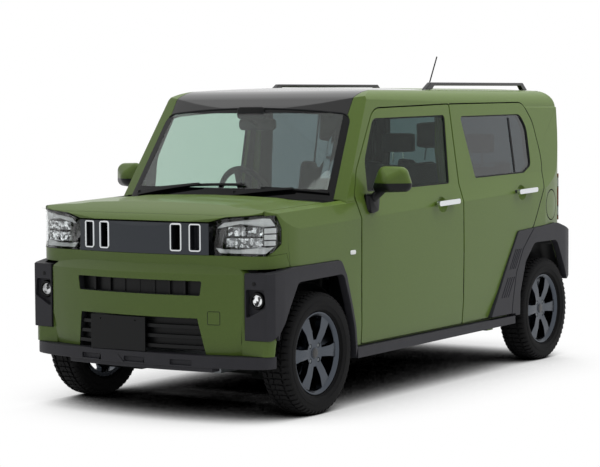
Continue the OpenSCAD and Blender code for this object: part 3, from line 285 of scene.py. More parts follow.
def outward(piece):
    """Turns the faces outwards."""
    edit(piece)
    bpy.ops.mesh.normals_make_consistent(inside=False)
    free()


def joined(name, pieces):
    """Several pieces as one."""
    free()
    for piece in pieces:
        piece.select_set(True)
    bpy.context.view_layer.objects.active = pieces[0]
    bpy.ops.object.join()
    pieces[0].name = name
    return pieces[0]


def settle(piece, finish, body="body", angle=35):
    """Gives a new piece its finish and smooth faces, and lets it ride on its body."""
    only(piece)
    bpy.ops.object.transform_apply()
    bpy.ops.object.shade_smooth_by_angle(angle=math.radians(angle))
    piece.data.materials.clear()
    piece.data.materials.append(MATERIALS[finish])
    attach(piece, body)


def both_sides(piece, finish, angle=35):
    """Settles a left piece and its mirrored twin on the body; gives the two."""
    pair = (mirrored(piece, piece.name.replace("left", "right")), piece)
    for made in pair:
        settle(made, finish, angle=angle)
    return pair


def solid_copy(name, copy_name):
    """A copy of a CAD solid with its triangles merged into flat faces."""
    made = twin(NODES[name], copy_name)
    made.parent = None
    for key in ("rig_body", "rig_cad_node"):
        del made[key]
    made.modifiers.clear()
    edit(made)
    bpy.ops.mesh.remove_doubles(threshold=SOLID_MERGE)
    bpy.ops.mesh.dissolve_limited(angle_limit=FLAT)
    free()
    return made


def draped(name, start, way, middle=None):
    """A solid's point under start along way; start slides towards middle until it meets the solid."""
    for step in range(12):
        at = Vector(start) if middle is None else Vector(start).lerp(Vector(middle), step / 12)
        hit, place, _, _ = NODES[name].ray_cast(at, Vector(way))
        if hit:
            return place
    raise RuntimeError(f"{name} isn't met from {tuple(start)}")


def oval(width, height, corner, steps=4):
    """A rounded rectangle's outline about the origin, as pairs."""
    points = []
    for i, (sx, sz) in enumerate([(1, 1), (-1, 1), (-1, -1), (1, -1)]):
        for j in range(steps + 1):
            angle = math.radians(90 * i + 90 * j / steps)
            across = sx * (width / 2 - corner) + corner * math.cos(angle)
            points.append((across, sz * (height / 2 - corner) + corner * math.sin(angle)))
    return points


# Materials

MATERIALS = {}

# Finishes that share a solid with the paint: colour, metallic, roughness, coat
TRIM = (linear("#2a2b2e"), 0.0, 0.7, 0.0)
CHROME = (linear("#d9dcde"), 1.0, 0.12, 0.0)
BLACK = (linear("#121315"), 0.0, 0.4, 0.0)
CABIN_MIDDLE = (0, 0.3, 0.9)
# Where zones of another finish lie, in mm: a value past the car, the handles' reach, the arches' top and
# depth and their start and end along y, and the seam round the mirrors
FAR = 5000
HANDLE_X = 739.5
ARCH_TOP, ARCH_X = 780, 690
ARCHES = [(-1420, -740), (930, 1500)]
MIRROR_SEAM = 1104


def zone(tree, place, **bounds):
    """1 inside a box, else 0: each bound is an axis's lowest and highest value in mm, x unsigned."""
    parts = node(tree, "SeparateXYZ", {0: place}).outputs
    mask = None
    for axis, (low, high) in bounds.items():
        value = parts[axis.upper()]
        if axis == "x":
            value = node(tree, "Math", {0: value}, operation="ABSOLUTE")
        span = {0: value, 1: (low + high) / 2 * MM, 2: (high - low) / 2 * MM}
        inside = node(tree, "Math", span, operation="COMPARE")
        if mask is not None:
            inside = node(tree, "Math", {0: inside, 1: mask}, operation="MULTIPLY")
        mask = inside
    return mask


def facing_in(tree, place):
    """1 on faces that look into the cabin, else 0."""
    normal = node(tree, "NewGeometry").outputs["True Normal"]
    spaces = {"vector_type": "NORMAL", "convert_from": "WORLD", "convert_to": "OBJECT"}
    own = node(tree, "VectorTransform", {0: normal}, **spaces)
    out = node(tree, "VectorMath", {0: place, 1: CABIN_MIDDLE}, operation="SUBTRACT")
    turn = node(tree, "VectorMath", {0: own, 1: out}, operation="DOT_PRODUCT").outputs["Value"]
    return node(tree, "Math", {0: turn, 1: -0.05}, operation="LESS_THAN")


def cover(tree, start, zones):
    """Shader sockets of a start finish that each zone's finish covers where its mask is 1."""
    names = ("Base Color", "Metallic", "Roughness", "Coat Weight")
    values = list(start)
    for mask, finish in zones:
        for i, value in enumerate(finish):
            if values[i] == value:
                continue
            kind = {"data_type": "RGBA"} if i == 0 else {}
            made = node(tree, "Mix", {"Factor": mask, "A": values[i], "B": value}, **kind)
            values[i] = made
    return dict(zip(names, values))


def paint_metallic(name, zones):
    """Green metallic basecoat under clearcoat: soft flake sparkle; zones gives what isn't painted."""
    made, tree, place = new_material(name)
    look = bpy.context.scene.car_colours
    # Flakes are about 0.05 mm across; they are drawn at 3 mm so that they show close up.
    flake = node(tree, "TexVoronoi", {"Vector": place, "Scale": per_mm(3)})
    peel = node(tree, "TexNoise", {"Vector": place, "Scale": per_mm(9), "Detail": 1.0})
    skin = two_tone(tree, flake, linear(look.paint), linear(look.paint_flake), peel, 0.02, 0.2)
    skin.update(cover(tree, (skin["Base Color"], 0.0, 0.4, 0.2), zones(tree, place)))
    return shade(made, {**skin, "Coat Roughness": 0.04, "Specular IOR Level": 0.2})


def panel_zones(tree, place):
    """Trim on the inside, black wheel arches, bright door handles, which stand proudest of the skin."""
    zones = [(facing_in(tree, place), TRIM)]
    zones += [(zone(tree, place, x=(0, ARCH_X), y=span, z=(0, ARCH_TOP)), BLACK) for span in ARCHES]
    return zones + [(zone(tree, place, x=(HANDLE_X, FAR)), CHROME)]


def mirror_zones(tree, place):
    """A black lower shell under the painted cap."""
    return [(zone(tree, place, z=(0, MIRROR_SEAM)), BLACK)]


def tail_lens(name):
    """Red moulded lens with clear bands for the indicator and the reversing lamp, and dark ribs between."""
    made, tree, place = new_material(name)
    red = (linear("#7d0d12"), 0.0, 0.12, 0.8)
    clear = (linear("#c9ced0"), 0.1, 0.1, 0.8)
    dark = (linear("#240507"), 0.0, 0.3, 0.8)
    # Bands: middle height and half height in mm
    bands = [(858, 25, clear), (1030, 25, clear)] + [(z, 3, dark) for z in (829, 887, 1001, 1059)]
    zones = [(zone(tree, place, z=(z - half, z + half)), finish) for z, half, finish in bands]
    # Moulded optic ribs every 12 mm
    wave = {"Vector": place, "Scale": per_mm(38)}
    ribs = node(tree, "TexWave", wave, bands_direction="X").outputs["Fac"]
    bump = node(tree, "Bump", {"Height": ribs, "Strength": 0.3, "Distance": 1 * MM})
    return shade(made, {**cover(tree, red, zones), "Normal": bump})


def banded_glass(name, colour):
    """Windscreen glass with the printed black border that hides the glue."""
    made, tree, place = new_material(name)
    # The side bands follow the pillars: they start where x plus 0.132 times the height is 725 mm.
    folded = node(tree, "VectorMath", {0: place}, operation="ABSOLUTE")
    lean = node(tree, "VectorMath", {0: folded, 1: (1, 0, 0.132)}, operation="DOT_PRODUCT")
    middle = node(tree, "Math", {0: lean, 1: 0.725}, operation="LESS_THAN")
    level = zone(tree, place, z=(1075, 1455))
    pane = node(tree, "Math", {0: middle, 1: level}, operation="MULTIPLY")
    tones = {"Factor": pane, "A": linear("#0b0c0d"), "B": linear(colour)}
    tone = node(tree, "Mix", tones, data_type="RGBA")
    sockets = {"Base Color": tone, "Roughness": 0.0, "IOR": 1.5, "Specular IOR Level": 0.2}
    return shade(made, {**sockets, "Transmission Weight": pane})


def woven_cloth(name, colour):
    """Seat fabric: a plain weave of 2.5 mm threads, matt with a soft sheen."""
    made, tree, place = new_material(name)
    wave = {"Vector": place, "Scale": per_mm(16), "Distortion": 0.4}
    warp = node(tree, "TexWave", wave, bands_direction="X").outputs["Fac"]
    weft = node(tree, "TexWave", wave, bands_direction="Z").outputs["Fac"]
    weave = node(tree, "Math", {0: warp, 1: weft}, operation="MULTIPLY")
    skin = two_tone(tree, weave, darker(colour, 0.6), linear(colour), weave, 0.4, 0.6)
    return shade(made, {**skin, "Roughness": 0.92, "Sheen Weight": 0.25})


def cladding_plastic(name):
    """Moulded dark polypropylene: a fine leather-like grain that scatters the light."""
    made, tree, place = new_material(name)
    look = bpy.context.scene.car_colours
    # The grain is about 0.6 mm; it is drawn at 2.5 mm so that it shows.
    grain = node(tree, "TexVoronoi", {"Vector": place, "Scale": per_mm(2.5)})
    cloud = node(tree, "TexNoise", {"Vector": place, "Scale": per_mm(60), "Detail": 3.0})
    skin = two_tone(tree, cloud, linear(look.cladding), linear(look.cladding_worn), grain, 0.25, 0.3)
    return shade(made, {**skin, "Roughness": 0.55, "Specular IOR Level": 0.25})


def plain_finish(name, colour, metallic, roughness, grain_mm, depth):
    """A finish whose tone and smoothness vary a little over a grain of that size."""
    made, tree, place = new_material(name)
    noise = {"Vector": place, "Scale": per_mm(grain_mm), "Detail": 4.0}
    grain = node(tree, "TexNoise", noise)
    skin = two_tone(tree, grain, darker(colour, 0.86), linear(colour), grain, depth, 0.2)
    span = {"Value": grain, "To Min": roughness * 0.85, "To Max": roughness * 1.15}
    skin["Roughness"] = node(tree, "MapRange", span)
    # A grained surface shines less than its material would when polished.
    skin["Specular IOR Level"] = 0.2 if roughness > 0.35 else 0.5
    return shade(made, {**skin, "Metallic": metallic})


def clear_pane(name, colour, bend, shine=0.2, coat=0.0):
    """Glass or polycarbonate with a body tint; bend is its index, coat the weight of a hard coat."""
    made, _, _ = new_material(name)
    sockets = {"Base Color": linear(colour), "Roughness": 0.0, "IOR": bend, "Specular IOR Level": shine}
    return shade(made, {**sockets, "Transmission Weight": 1.0, "Coat Weight": coat, "Coat Roughness": 0.0})


def painted_glint_reflector(name):
    """Vapour-plated lamp optics as small mirrors with painted reflections: each cell is painted darker or
    brighter, as if it caught a darker or a brighter part of the room.
    """
    made, tree, place = new_material(name)
    cell = node(tree, "TexVoronoi", {"Vector": place, "Scale": per_mm(15)}).outputs
    # Painted glints: each cell's colour is painted between near black and near white.
    painted_glint = node(tree, "SeparateColor", {0: cell["Color"]})
    skin = two_tone(tree, painted_glint, linear("#0d0e10"), linear("#f2f4f5"), cell["Distance"], 0.5, 2)
    return shade(made, {**skin, "Metallic": 1.0, "Roughness": 0.15})


def make_materials():
    """Fills the table of finishes."""
    MATERIALS.update(
        paint=paint_metallic("green_metallic_paint", panel_zones),
        mirror_paint=paint_metallic("mirror_cap_paint", mirror_zones),
        screen=banded_glass("windscreen_glass", "#dbe8e1"),
        cloth=woven_cloth("seat_cloth", "#4a4c52"),
        # A lamp's thin lens bends no light, and only its hard coat shines.
        lens=clear_pane("clear_polycarbonate", "#f6f8f8", 1.02, shine=0.5, coat=0.6),
        # Lamp reflectors whose cells carry painted glints
        reflector=painted_glint_reflector("painted_glint_reflector"),
        tail_lens=tail_lens("tail_lamp_lens"),
        cladding=cladding_plastic("grained_cladding_plastic"),
        # The front panes show the cabin as thin glass does, which hardly bends the light.
        glass=clear_pane("green_tinted_glass", "#b4cabf", 1.16),
        privacy=clear_pane("privacy_glass", "#55646a", 1.5),
    )
    # name: colour, metallic, roughness, grain in mm, bump strength
    rows = {
        "gloss_black": ("#050506", 0.0, 0.08, 40, 0.01),
        "tyre": ("#0e0e0f", 0.0, 0.82, 6, 0.15),
        "alloy": ("#4a4f56", 1.0, 0.24, 12, 0.02),
        "grille": ("#3a3d41", 0.85, 0.3, 10, 0.02),
        "lamp_red": ("#8e1216", 0.0, 0.1, 30, 0.01),
        "chrome": ("#d9dcde", 1.0, 0.1, 40, 0.01),
        "light_guide": ("#eef1f2", 0.0, 0.25, 20, 0.02),
        "rubber": ("#101113", 0.0, 0.6, 4, 0.1),
        "mirror_glass": ("#c8cdd0", 1.0, 0.03, 80, 0.0),
        "screen_glass": ("#15181c", 0.0, 0.05, 60, 0.0),
        "trim": ("#1f2023", 0.0, 0.65, 2.5, 0.2),
        "floor": ("#2a2c2b", 0.2, 0.6, 15, 0.1),
        "steel": ("#75797c", 0.8, 0.45, 8, 0.1),
        "black_plastic": ("#08090a", 0.0, 0.42, 3, 0.1),
    }
    for name, row in rows.items():
        MATERIALS[name] = plain_finish(name, *row)


# Settings


class CarColours(bpy.types.PropertyGroup):
    """Colours that a user would change, as sRGB hex codes."""

    paint: bpy.props.StringProperty(name="Paint", description="Body colour", default="#495d23")
    paint_flake: bpy.props.StringProperty(
        name="Paint flake", description="Colour of the metallic flakes", default="#556a2c"
    )
    cladding: bpy.props.StringProperty(name="Cladding", description="Unpainted plastic", default="#242428")
    cladding_worn: bpy.props.StringProperty(
        name="Worn cladding", description="Plastic where it has bleached a little", default="#2c2c31"
    )


class CarSizes(bpy.types.PropertyGroup):
    """Sizes that a user would change."""

    edge: bpy.props.FloatProperty(
        name="Panel edge", description="Radius of a pressed panel's edge", default=2.5 * MM, unit="LENGTH"
    )


# Finish and edge radius, in mm or as on a panel, of the solids whose names start so
FINISHES = [
    ("glass", 0, "glass_front"),
    ("privacy", 0, "glass_rear tailgate_glass"),
    ("screen", 0, "windscreen"),
    ("mirror_paint", 0, "mirror"),
    ("gloss_black", 3.0, "roof_glass"),
    ("gloss_black", 4.0, "roof_rails"),
    ("tyre", 0, "tyre"),
    ("alloy", 1.5, "rim"),
    ("grille", 1.5, "grille_panel"),
    ("lens", 1.5, "front_lamps"),
    ("tail_lens", 2.0, "tail_lamps"),
    ("cloth", 0, "front_seats rear_seat"),
    ("trim", 0, "steering_wheel"),
    ("trim", 3.0, "dashboard"),
    ("floor", 0, "floor_pan front_subframe rear_axle"),
    ("black_plastic", 0, "antenna wheel_liners"),
    ("black_plastic", 1.0, "wipers"),
    ("black_plastic", 1.5, "bumper_grille cowl_panel"),
    ("black_plastic", 3.0, "fuel_tank"),
    ("cladding", 2.0, "arch_door"),
    ("cladding", 3.0, "body_cladding"),
    ("cladding", 4.0, "front_skid"),
    ("steel", 0, "exhaust knuckle"),
    ("steel", 4.0, "engine"),
    ("paint", 0, "fuel_flap"),
    ("paint", 2.1, "body_sides"),
    ("paint", "panel", ""),
]


class CAR_OT_finish(bpy.types.Operator):
    """Gives every solid its finish and rounds the edges that show"""

    bl_idname = "car.finish"
    bl_label = "Finish solids"

    def execute(self, context):
        make_materials()
        for name, solid in NODES.items():
            finish, edge = next(row[:2] for row in FINISHES if name.startswith(tuple(row[2].split(" "))))
            solid.data.materials.clear()
            solid.data.materials.append(MATERIALS[finish])
            only(solid)
            bpy.ops.object.shade_smooth()
            solid.modifiers.new("Join", "WELD").merge_threshold = SOLID_MERGE
            flat = solid.modifiers.new("Flat faces", "DECIMATE")
            flat.decimate_type = "DISSOLVE"
            flat.angle_limit = FLAT
            if edge:
                round_edge = solid.modifiers.new("Edges", "BEVEL")
                round_edge.width = context.scene.car_sizes.edge if edge == "panel" else edge * MM
                round_edge.segments = 2
                round_edge.limit_method = "ANGLE"
                round_edge.angle_limit = math.radians(16)
                round_edge.use_clamp_overlap = False
            normals = solid.modifiers.new("Normals", "WEIGHTED_NORMAL")
            normals.keep_sharp = True
        return {"FINISHED"}


# Wheels

# Wheel stations: y in mm
STATIONS = {"front": -1167.5, "rear": 1292.5}
WHEELS = [(station, side) for station in STATIONS for side in SIDES]
WHEEL_X, AXLE_Z = 650, 297.5
TREAD_PITCHES = 58
# Nuts: circle they stand on, their radius, depth and seat from the mid plane, in mm
NUT_CIRCLE, NUT_R, NUT_DEEP, NUT_SEAT = 50, 9.5, 13, 30.5

# Half of the tyre's section from bead to tread: offset from the mid plane, radius, in mm
TYRE_HALF = [
    (55.6, 190.7), (55.8, 204), (62, 206.2), (64, 209.2), (67, 209.8), (74.5, 213.5),
    (78.5, 226), (80.2, 233), (81.8, 234), (82.3, 245.5), (81.8, 252), (80.3, 253),
    (79.4, 268), (78.4, 274), (74.5, 282), (66, 288.2),
]

# Tread blocks: section as offset and radius pairs, block length round the tyre, skew across it, in mm
TREAD_ROWS = [
    ([(-11, 288), (-11, 297.4), (11, 297.4), (11, 288)], 25, 7),
    ([(16, 288), (16, 297.4), (38, 297.2), (38, 288)], 24, -8),
    ([(43, 287), (43, 297), (56.5, 295.2), (68.5, 289.4), (75.5, 280), (70, 276), (60, 285)], 24, 5),
]


def at_wheel(piece, name, station, side):
    """A copy of a piece made about the origin, outer side to +X, at its wheel."""
    made = twin(piece, name) if side == "left" else mirrored(piece, name)
    shift(made, mm(SIDES[side] * WHEEL_X, STATIONS[station], AXLE_Z))
    return made


class CAR_OT_tyres(bpy.types.Operator):
    """Replaces the plain tyres by ones with ringed sidewalls and a block tread"""

    bl_idname = "car.tyres"
    bl_label = "Tyres"

    def execute(self, context):
        section = TYRE_HALF + [(-x, r) for x, r in reversed(TYRE_HALF)]
        carcass = spun("carcass", [mm(x, 0, r) for x, r in section + section[:1]], (1, 0, 0), 96)
        parts = [carcass]
        for i, (outline, length, skew) in enumerate(TREAD_ROWS):
            for way in (1, -1) if i else (1,):
                points = [mm(way * x, -length / 2, r) for x, r in outline]
                across = mm(way * skew, length, 0)
                block = plate(f"tread_{i}_{way}", points, across, edge=1.2, segments=1)
                spread(block, TREAD_PITCHES, (1, 0, 0))
                parts.append(block)
        whole = joined("tyre_pattern", parts)
        for station, side in WHEELS:
            tyre = at_wheel(whole, f"tread_{station}_{side}", station, side)
            settle(tyre, "tyre", f"wheel_{station}_{side}", angle=28)
            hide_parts(f"tyre_{station}_{side}")
        bpy.data.objects.remove(whole)
        return {"FINISHED"}


class CAR_OT_wheel_trim(bpy.types.Operator):
    """Fits hexagon nuts and a bare centre cap to each wheel"""

    bl_idname = "car.wheel_trim"
    bl_label = "Nuts and caps"

    def execute(self, context):
        hexagon = [math.tau * i / 6 for i in range(6)]
        lean = NUT_CIRCLE * math.cos(math.tau / 8)
        points = [mm(NUT_SEAT, lean + NUT_R * math.cos(a), lean + NUT_R * math.sin(a)) for a in hexagon]
        nut = plate("nut", points, mm(NUT_DEEP, 0, 0), edge=1.6)
        spread(nut, 4, (1, 0, 0))
        profile = [(48, 0), (50.4, 0.5), (50.4, 14), (50, 20), (48.6, 24), (46, 25.5), (44, 25.5)]
        cap = spun("cap", [mm(x, 0, r) for x, r in profile], (1, 0, 0), 48)
        for station, side in WHEELS:
            body = f"wheel_{station}_{side}"
            nuts = at_wheel(nut, f"nuts_{station}_{side}", station, side)
            settle(nuts, "steel", body)
            badge = at_wheel(cap, f"cap_{station}_{side}", station, side)
            settle(badge, "gloss_black", body)
        for piece in (nut, cap):
            bpy.data.objects.remove(piece)
        return {"FINISHED"}


# Lamps

# Rays that look for the car's front start here, in metres, and run this way.
AHEAD = -4
FORWARD = (0, 1, 0)
BACKWARD = (0, -1, 0)
LAMP_MIDDLE = (0.56, AHEAD, 0.87)

# Light guide of a headlamp in the front view: outlines as x, z in mm
GUIDES = [
    [(425, 917), (462, 945), (560, 957), (649, 968), (675, 966), (690, 931)]
    + [(654, 928), (544, 940), (473, 926)],
    [(655, 921), (692, 921), (692, 897), (655, 897)],
    [(655, 891), (692, 891), (692, 867), (655, 867)],
    [(655, 861), (690, 861), (690, 839), (655, 839)],
    [(418, 826), (440, 801), (540, 801), (632, 801), (660, 801), (686, 832)]
    + [(648, 830), (540, 820), (470, 820)],
]

# Reflector banks: x from, x to, z from, z to, in mm, cells along and up
BANKS = [(480, 645, 884, 924, 12, 3), (470, 645, 828, 874, 11, 3)]
# How far the guides and the banks lie behind the lens, in mm
GUIDE_DEPTH, BANK_DEPTH = 9, 20


def lamp_point(x, z, depth):
    """A point that lies depth behind the headlamp's front, x and z in mm."""
    place = draped("front_lamps", (x * MM, AHEAD, z * MM), FORWARD, LAMP_MIDDLE)
    return (place.x, place.y + depth * MM, place.z)


def looks_out(face):
    """Whether a headlamp's face belongs to its front skin."""
    middle = Vector((math.copysign(0.3, face.center.x), -0.9, 0.86))
    return face.center.z > 0.7 and face.normal.dot((face.center - middle).normalized()) > 0.72


class CAR_OT_headlamps(bpy.types.Operator):
    """Opens the headlamps into clear lenses over black housings with white guides and bright reflectors,
    whose cells carry painted glints
    """

    bl_idname = "car.headlamps"
    bl_label = "Headlamps"

    def execute(self, context):
        lens = solid_copy("front_lamps", "lamp_lenses")
        strip(lens, lambda face: not looks_out(face))
        modify(lens, "SOLIDIFY", thickness=2.5 * MM, offset=-1)
        settle(lens, "lens")
        shell = solid_copy("front_lamps", "lamp_housings")
        strip(shell, looks_out)
        settle(shell, "gloss_black")

        guides = []
        for i, outline in enumerate(GUIDES):
            points = [lamp_point(x, z, GUIDE_DEPTH) for x, z in outline]
            guides.append(plate(f"guide_{i}", points, mm(0, 7, 0), edge=2))
        both_sides(joined("light_guide_left", guides), "light_guide")

        banks = []
        for x0, x1, z0, z1, along, up in BANKS:
            free()
            bpy.ops.mesh.primitive_grid_add(x_subdivisions=along, y_subdivisions=up, size=1)
            bank = context.object
            for corner in bank.data.vertices:
                x = x0 + (corner.co.x + 0.5) * (x1 - x0)
                z = z0 + (corner.co.y + 0.5) * (z1 - z0)
                corner.co = lamp_point(x, z, BANK_DEPTH)
            outward(bank)
            edit(bank)
            bpy.ops.mesh.inset(thickness=1.2 * MM, depth=0, use_individual=True)
            bpy.ops.mesh.inset(thickness=3.5 * MM, depth=-4 * MM, use_individual=True)
            banks.append(bank)
        bank = joined("reflectors_left", banks)
        ribs = twin(bank, "reflector_ribs_left")
        modify(ribs, "WIREFRAME", thickness=1.8 * MM)
        modify(bank, "SOLIDIFY", thickness=1.5 * MM, offset=1)
        # The banks' cells carry painted glints, painted darker or brighter cell by cell.
        both_sides(bank, "reflector", angle=15)
        both_sides(ribs, "chrome", angle=15)
        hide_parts("front_lamps")
        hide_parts("front_lamps")
        return {"FINISHED"}


class CAR_OT_fog_lamps(bpy.types.Operator):
    """Fits each fog lamp with a ringed bezel and a domed lens"""

    bl_idname = "car.fog_lamps"
    bl_label = "Fog lamps"

    def execute(self, context):
        # Lamp's middle x and z, front face y, in mm
        x, z, y = 638, 583, -1575.5
        ring = [(30, -1), (31, -6), (34, -8), (38.5, -6.5), (41, -2), (41, 4), (30, 4)]
        bezel = spun("fog_bezel_left", [mm(r, d, 0) for r, d in ring + ring[:1]], FORWARD, 48)
        dome = [(0, -7), (10, -6.6), (20, -5.2), (27, -3), (29.8, -0.8), (29.8, -0.4), (0, -0.4)]
        lens = spun("fog_lens_left", [mm(r, d, 0) for r, d in dome], FORWARD, 40)
        # The domed lens takes the reflector finish, whose cells carry painted glints.
        for piece, finish in ((bezel, "black_plastic"), (lens, "reflector")):
            shift(piece, mm(x, y, z))
            both_sides(piece, finish)
        return {"FINISHED"}


# Front trim

# Splash shields' and parking sensors' places, in mm
SHIELD_X = 440
SENSOR_X, SENSOR_Z = 635, 663


def front_point(name, x, z, proud):
    """A point proud of a solid's front, x and z in mm."""
    place = draped(name, (x * MM, AHEAD, z * MM), FORWARD)
    return (x * MM, place.y - proud * MM, z * MM)


class CAR_OT_front_trim(bpy.types.Operator):
    """Frames the grille's slots and adds splash shields, the towing cover's seam and parking sensors"""

    bl_idname = "car.front_trim"
    bl_label = "Front trim"

    def execute(self, context):
        # Grille slots: middle x; width and heights in mm
        width, low, high = 46, 814, 930
        for i, x in enumerate((-318, -216, 216, 318)):
            outline = oval(width + 10, high - low + 10, 9)
            points = [front_point("grille_panel", x + a, (low + high) / 2 + b, 1.5) for a, b in outline]
            settle(tube(f"slot_frame_{i}", points, 4.4 * MM, closed=True), "chrome")
        # Splash shields that close the arch ahead of the front wheels, above the tyres' reach
        edge = [(-1480, 560), (-1480, 735), (-1280, 735), (-1280, 640), (-1330, 600), (-1400, 560)]
        for side, way in SIDES.items():
            points = [mm(way * SHIELD_X, y, z) for y, z in edge]
            shield = plate(f"arch_shield_{side}", points, mm(way * 3, 0, 0))
            settle(shield, "black_plastic")
        tow = [front_point("front_bumper", 433 + a, 496 + b, 0) for a, b in oval(62, 62, 6)]
        settle(tube("towing_cover_seam", tow, 1.4 * MM, closed=True), "rubber")
        disc = [(0, -3), (8, -3), (10, -2), (10, 3), (0, 3)]
        for i, x in enumerate((-SENSOR_X, SENSOR_X)):
            sensor = spun(f"parking_sensor_{i}", [mm(r, d, 0) for r, d in disc], FORWARD, 32)
            shift(sensor, tuple(draped("body_cladding", (x * MM, AHEAD, SENSOR_Z * MM), FORWARD)))
            settle(sensor, "black_plastic")
        return {"FINISHED"}


# Seals and outer trim

# Glass that is framed by a seal: node, body, seal radius in mm
SEALS = [
    ("glass_front", "door_front", 7),
    ("glass_rear", "door_rear", 7),
    ("windscreen", "body", 5),
    ("tailgate_glass", "tailgate", 7),
]

# In metres: where rays that look for a side start, the window bar's y, ends and half width corner by
# corner, and the side repeater's y and z
BESIDE = 2
BAR_Y, BAR_ENDS, BAR_HALVES = 0.985, (1.06, 1.50), (-0.008, 0.008, 0.008, -0.008)
REPEATER = (-0.862, 0.768)


def seal_round(name, seal_name, radius):
    """A rubber rod along the edge of a pane's outer face."""
    pane = solid_copy(name, seal_name)
    strip(pane, lambda face: face.normal.dot((face.center - Vector(CABIN_MIDDLE)).normalized()) <= 0.3)
    edit(pane)
    bpy.ops.mesh.region_to_loop()
    bpy.ops.mesh.select_all(action="INVERT")
    bpy.ops.mesh.delete(type="EDGE_FACE")
    return rod(pane, radius * MM)


class CAR_OT_seals(bpy.types.Operator):
    """Lays rubber seals round the glass, the bars in the rear side windows and the side repeaters"""

    bl_idname = "car.seals"
    bl_label = "Seals"

    def execute(self, context):
        for name, body, radius in SEALS:
            for side in SIDES if name in ("glass_front", "glass_rear") else [None]:
                tail = f"_{side}" if side else ""
                seal = seal_round(name + tail, f"seal_{name}{tail}", radius)
                settle(seal, "rubber", body + tail)
        for side, way in SIDES.items():
            inward, aside = (-way, 0, 0), way * BESIDE
            middle = (aside, BAR_Y, 1.25)
            low, high = (draped(f"glass_rear_{side}", (aside, BAR_Y, z), inward, middle) for z in BAR_ENDS)
            bar = [tuple(end + Vector((0, half, 0))) for end, half in zip((low, low, high, high), BAR_HALVES)]
            bar = plate(f"window_bar_{side}", bar, mm(way * 3, 0, 0))
            settle(bar, "rubber", f"door_rear_{side}")
            points = []
            for a, b in oval(52, 22, 9):
                start = (aside, REPEATER[0] + a * MM, REPEATER[1] + b * MM)
                points.append(tuple(draped("front_fenders", start, inward)))
            lamp = plate(f"side_repeater_{side}", points, mm(way * 3, 0, 0), edge=1.5)
            settle(lamp, "light_guide")
        return {"FINISHED"}


class CAR_OT_mirror_glass(bpy.types.Operator):
    """Sets the glass into the back of each door mirror"""

    bl_idname = "car.mirror_glass"
    bl_label = "Mirror glass"

    def execute(self, context):
        for side, way in SIDES.items():
            name = f"mirror_{side}"
            low, high = (Vector(c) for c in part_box(name))
            # The glass sits 20 mm outside the shell's middle.
            middle = Vector((way * (abs(low.x + high.x) / 2 + 0.02), 3, 1.122))
            points = []
            for a, b in oval(136, 84, 26):
                points.append(tuple(draped(name, middle + Vector(mm(a, 0, b)), BACKWARD, middle)))
            glass = plate(f"mirror_glass_{side}", points, mm(0, 2.5, 0))
            settle(glass, "mirror_glass", f"door_front_{side}")
        return {"FINISHED"}


class CAR_OT_filler(bpy.types.Operator):
    """Puts the filler cap behind the fuel flap and a flush blank in the like recess of the right side"""

    bl_idname = "car.filler"
    bl_label = "Fuel filler"

    def execute(self, context):
        low, high = (Vector(c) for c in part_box("fuel_flap"))
        middle = (low + high) / 2
        profile = [(0, 14), (22, 14), (26, 11), (28, 4), (32, 2), (60, 0), (66, -6), (0, -6)]
        cap = spun("filler_cap", [mm(d, 0, r) for r, d in profile], (1, 0, 0), 48)
        shift(cap, (low.x - 30 * MM, middle.y, middle.z))
        settle(cap, "black_plastic")
        skin = solid_copy("fuel_flap", "flap_skin")
        strip(skin, lambda face: face.normal.x < 0.6)
        # The blank fills the 3 mm gap up to the recess's edge.
        fill = 1 + 2 * 3 * MM / (high.z - low.z)
        edit(skin)
        bpy.ops.transform.resize(value=(1, fill, fill), center_override=middle)
        modify(skin, "SOLIDIFY", thickness=3 * MM, offset=-1)
        blank = mirrored(skin, "quarter_blank_right")
        bpy.data.objects.remove(skin)
        settle(blank, "paint")
        return {"FINISHED"}


# Cabin

# Seat pads in the side view: name, middle x, half width, bolster half width, outline as y, z, in mm
# from the front seat's station or the rear axle
FRONT_PADS = [
    ("cushion", 330, 218, 125, [(-306, 535), (-306, 612), (-290, 625), (95, 625), (150, 575), (150, 535)]),
    ("back", 330, 218, 125, [(168, 565), (208, 700), (312, 1192), (385, 1192), (318, 650), (256, 545)]),
    ("headrest", 330, 108, 0, [(350, 1250), (350, 1388), (410, 1388), (410, 1250)]),
]
REAR_PADS = [
    ("cushion", 255, 240, 150, [(-505, 530), (-505, 630), (-490, 642), (-125, 626), (-112, 530)]),
    ("back", 255, 240, 150, [(-90, 620), (-22, 1155), (48, 1155), (-20, 632)]),
    ("headrest", 270, 108, 0, [(-15, 1206), (-15, 1318), (40, 1318), (40, 1206)]),
]
SEAT_Y = {"front": 294.5, "rear": 1292.5}
SEAT_SOLIDS = {"front": "front_seats", "rear": "rear_seat"}
# How far a pad's middle lies below its bolsters, its mesh size and the most that it swells, in mm
BOLSTER_DROP, PAD_VOXEL, PAD_SWELL = 16, 11, 14
SWELL_FRAMES = 20


def padded_form(name, middle, half, bolster, outline, station):
    """A pad swollen by a short cloth simulation, its middle a little lower than its bolsters."""
    # Strips across the pad: from x, to x, how far the outline is drawn in
    strips = [(-half, half, 0)]
    if bolster:
        strips = [(-half, -bolster, 0), (-bolster - 2, bolster + 2, BOLSTER_DROP), (bolster, half, 0)]
    centre = Vector([sum(c) / len(outline) for c in zip(*outline)])
    parts = []
    for i, (x0, x1, drawn) in enumerate(strips):
        points = []
        for point in outline:
            inward = centre - Vector(point)
            y, z = Vector(point) + inward.normalized() * min(drawn, inward.length / 2)
            points.append(mm(middle + x0, y + SEAT_Y[station], z))
        parts.append(plate(f"{name}_{i}", points, mm(x1 - x0, 0, 0)))
    pad = joined(name, parts)
    modify(pad, "REMESH", mode="VOXEL", voxel_size=PAD_VOXEL * MM)
    modify(pad, "SMOOTH", factor=0.5, iterations=6)
    swell(pad, PAD_SWELL * MM)
    modify(pad, "SUBSURF", levels=1)
    return pad


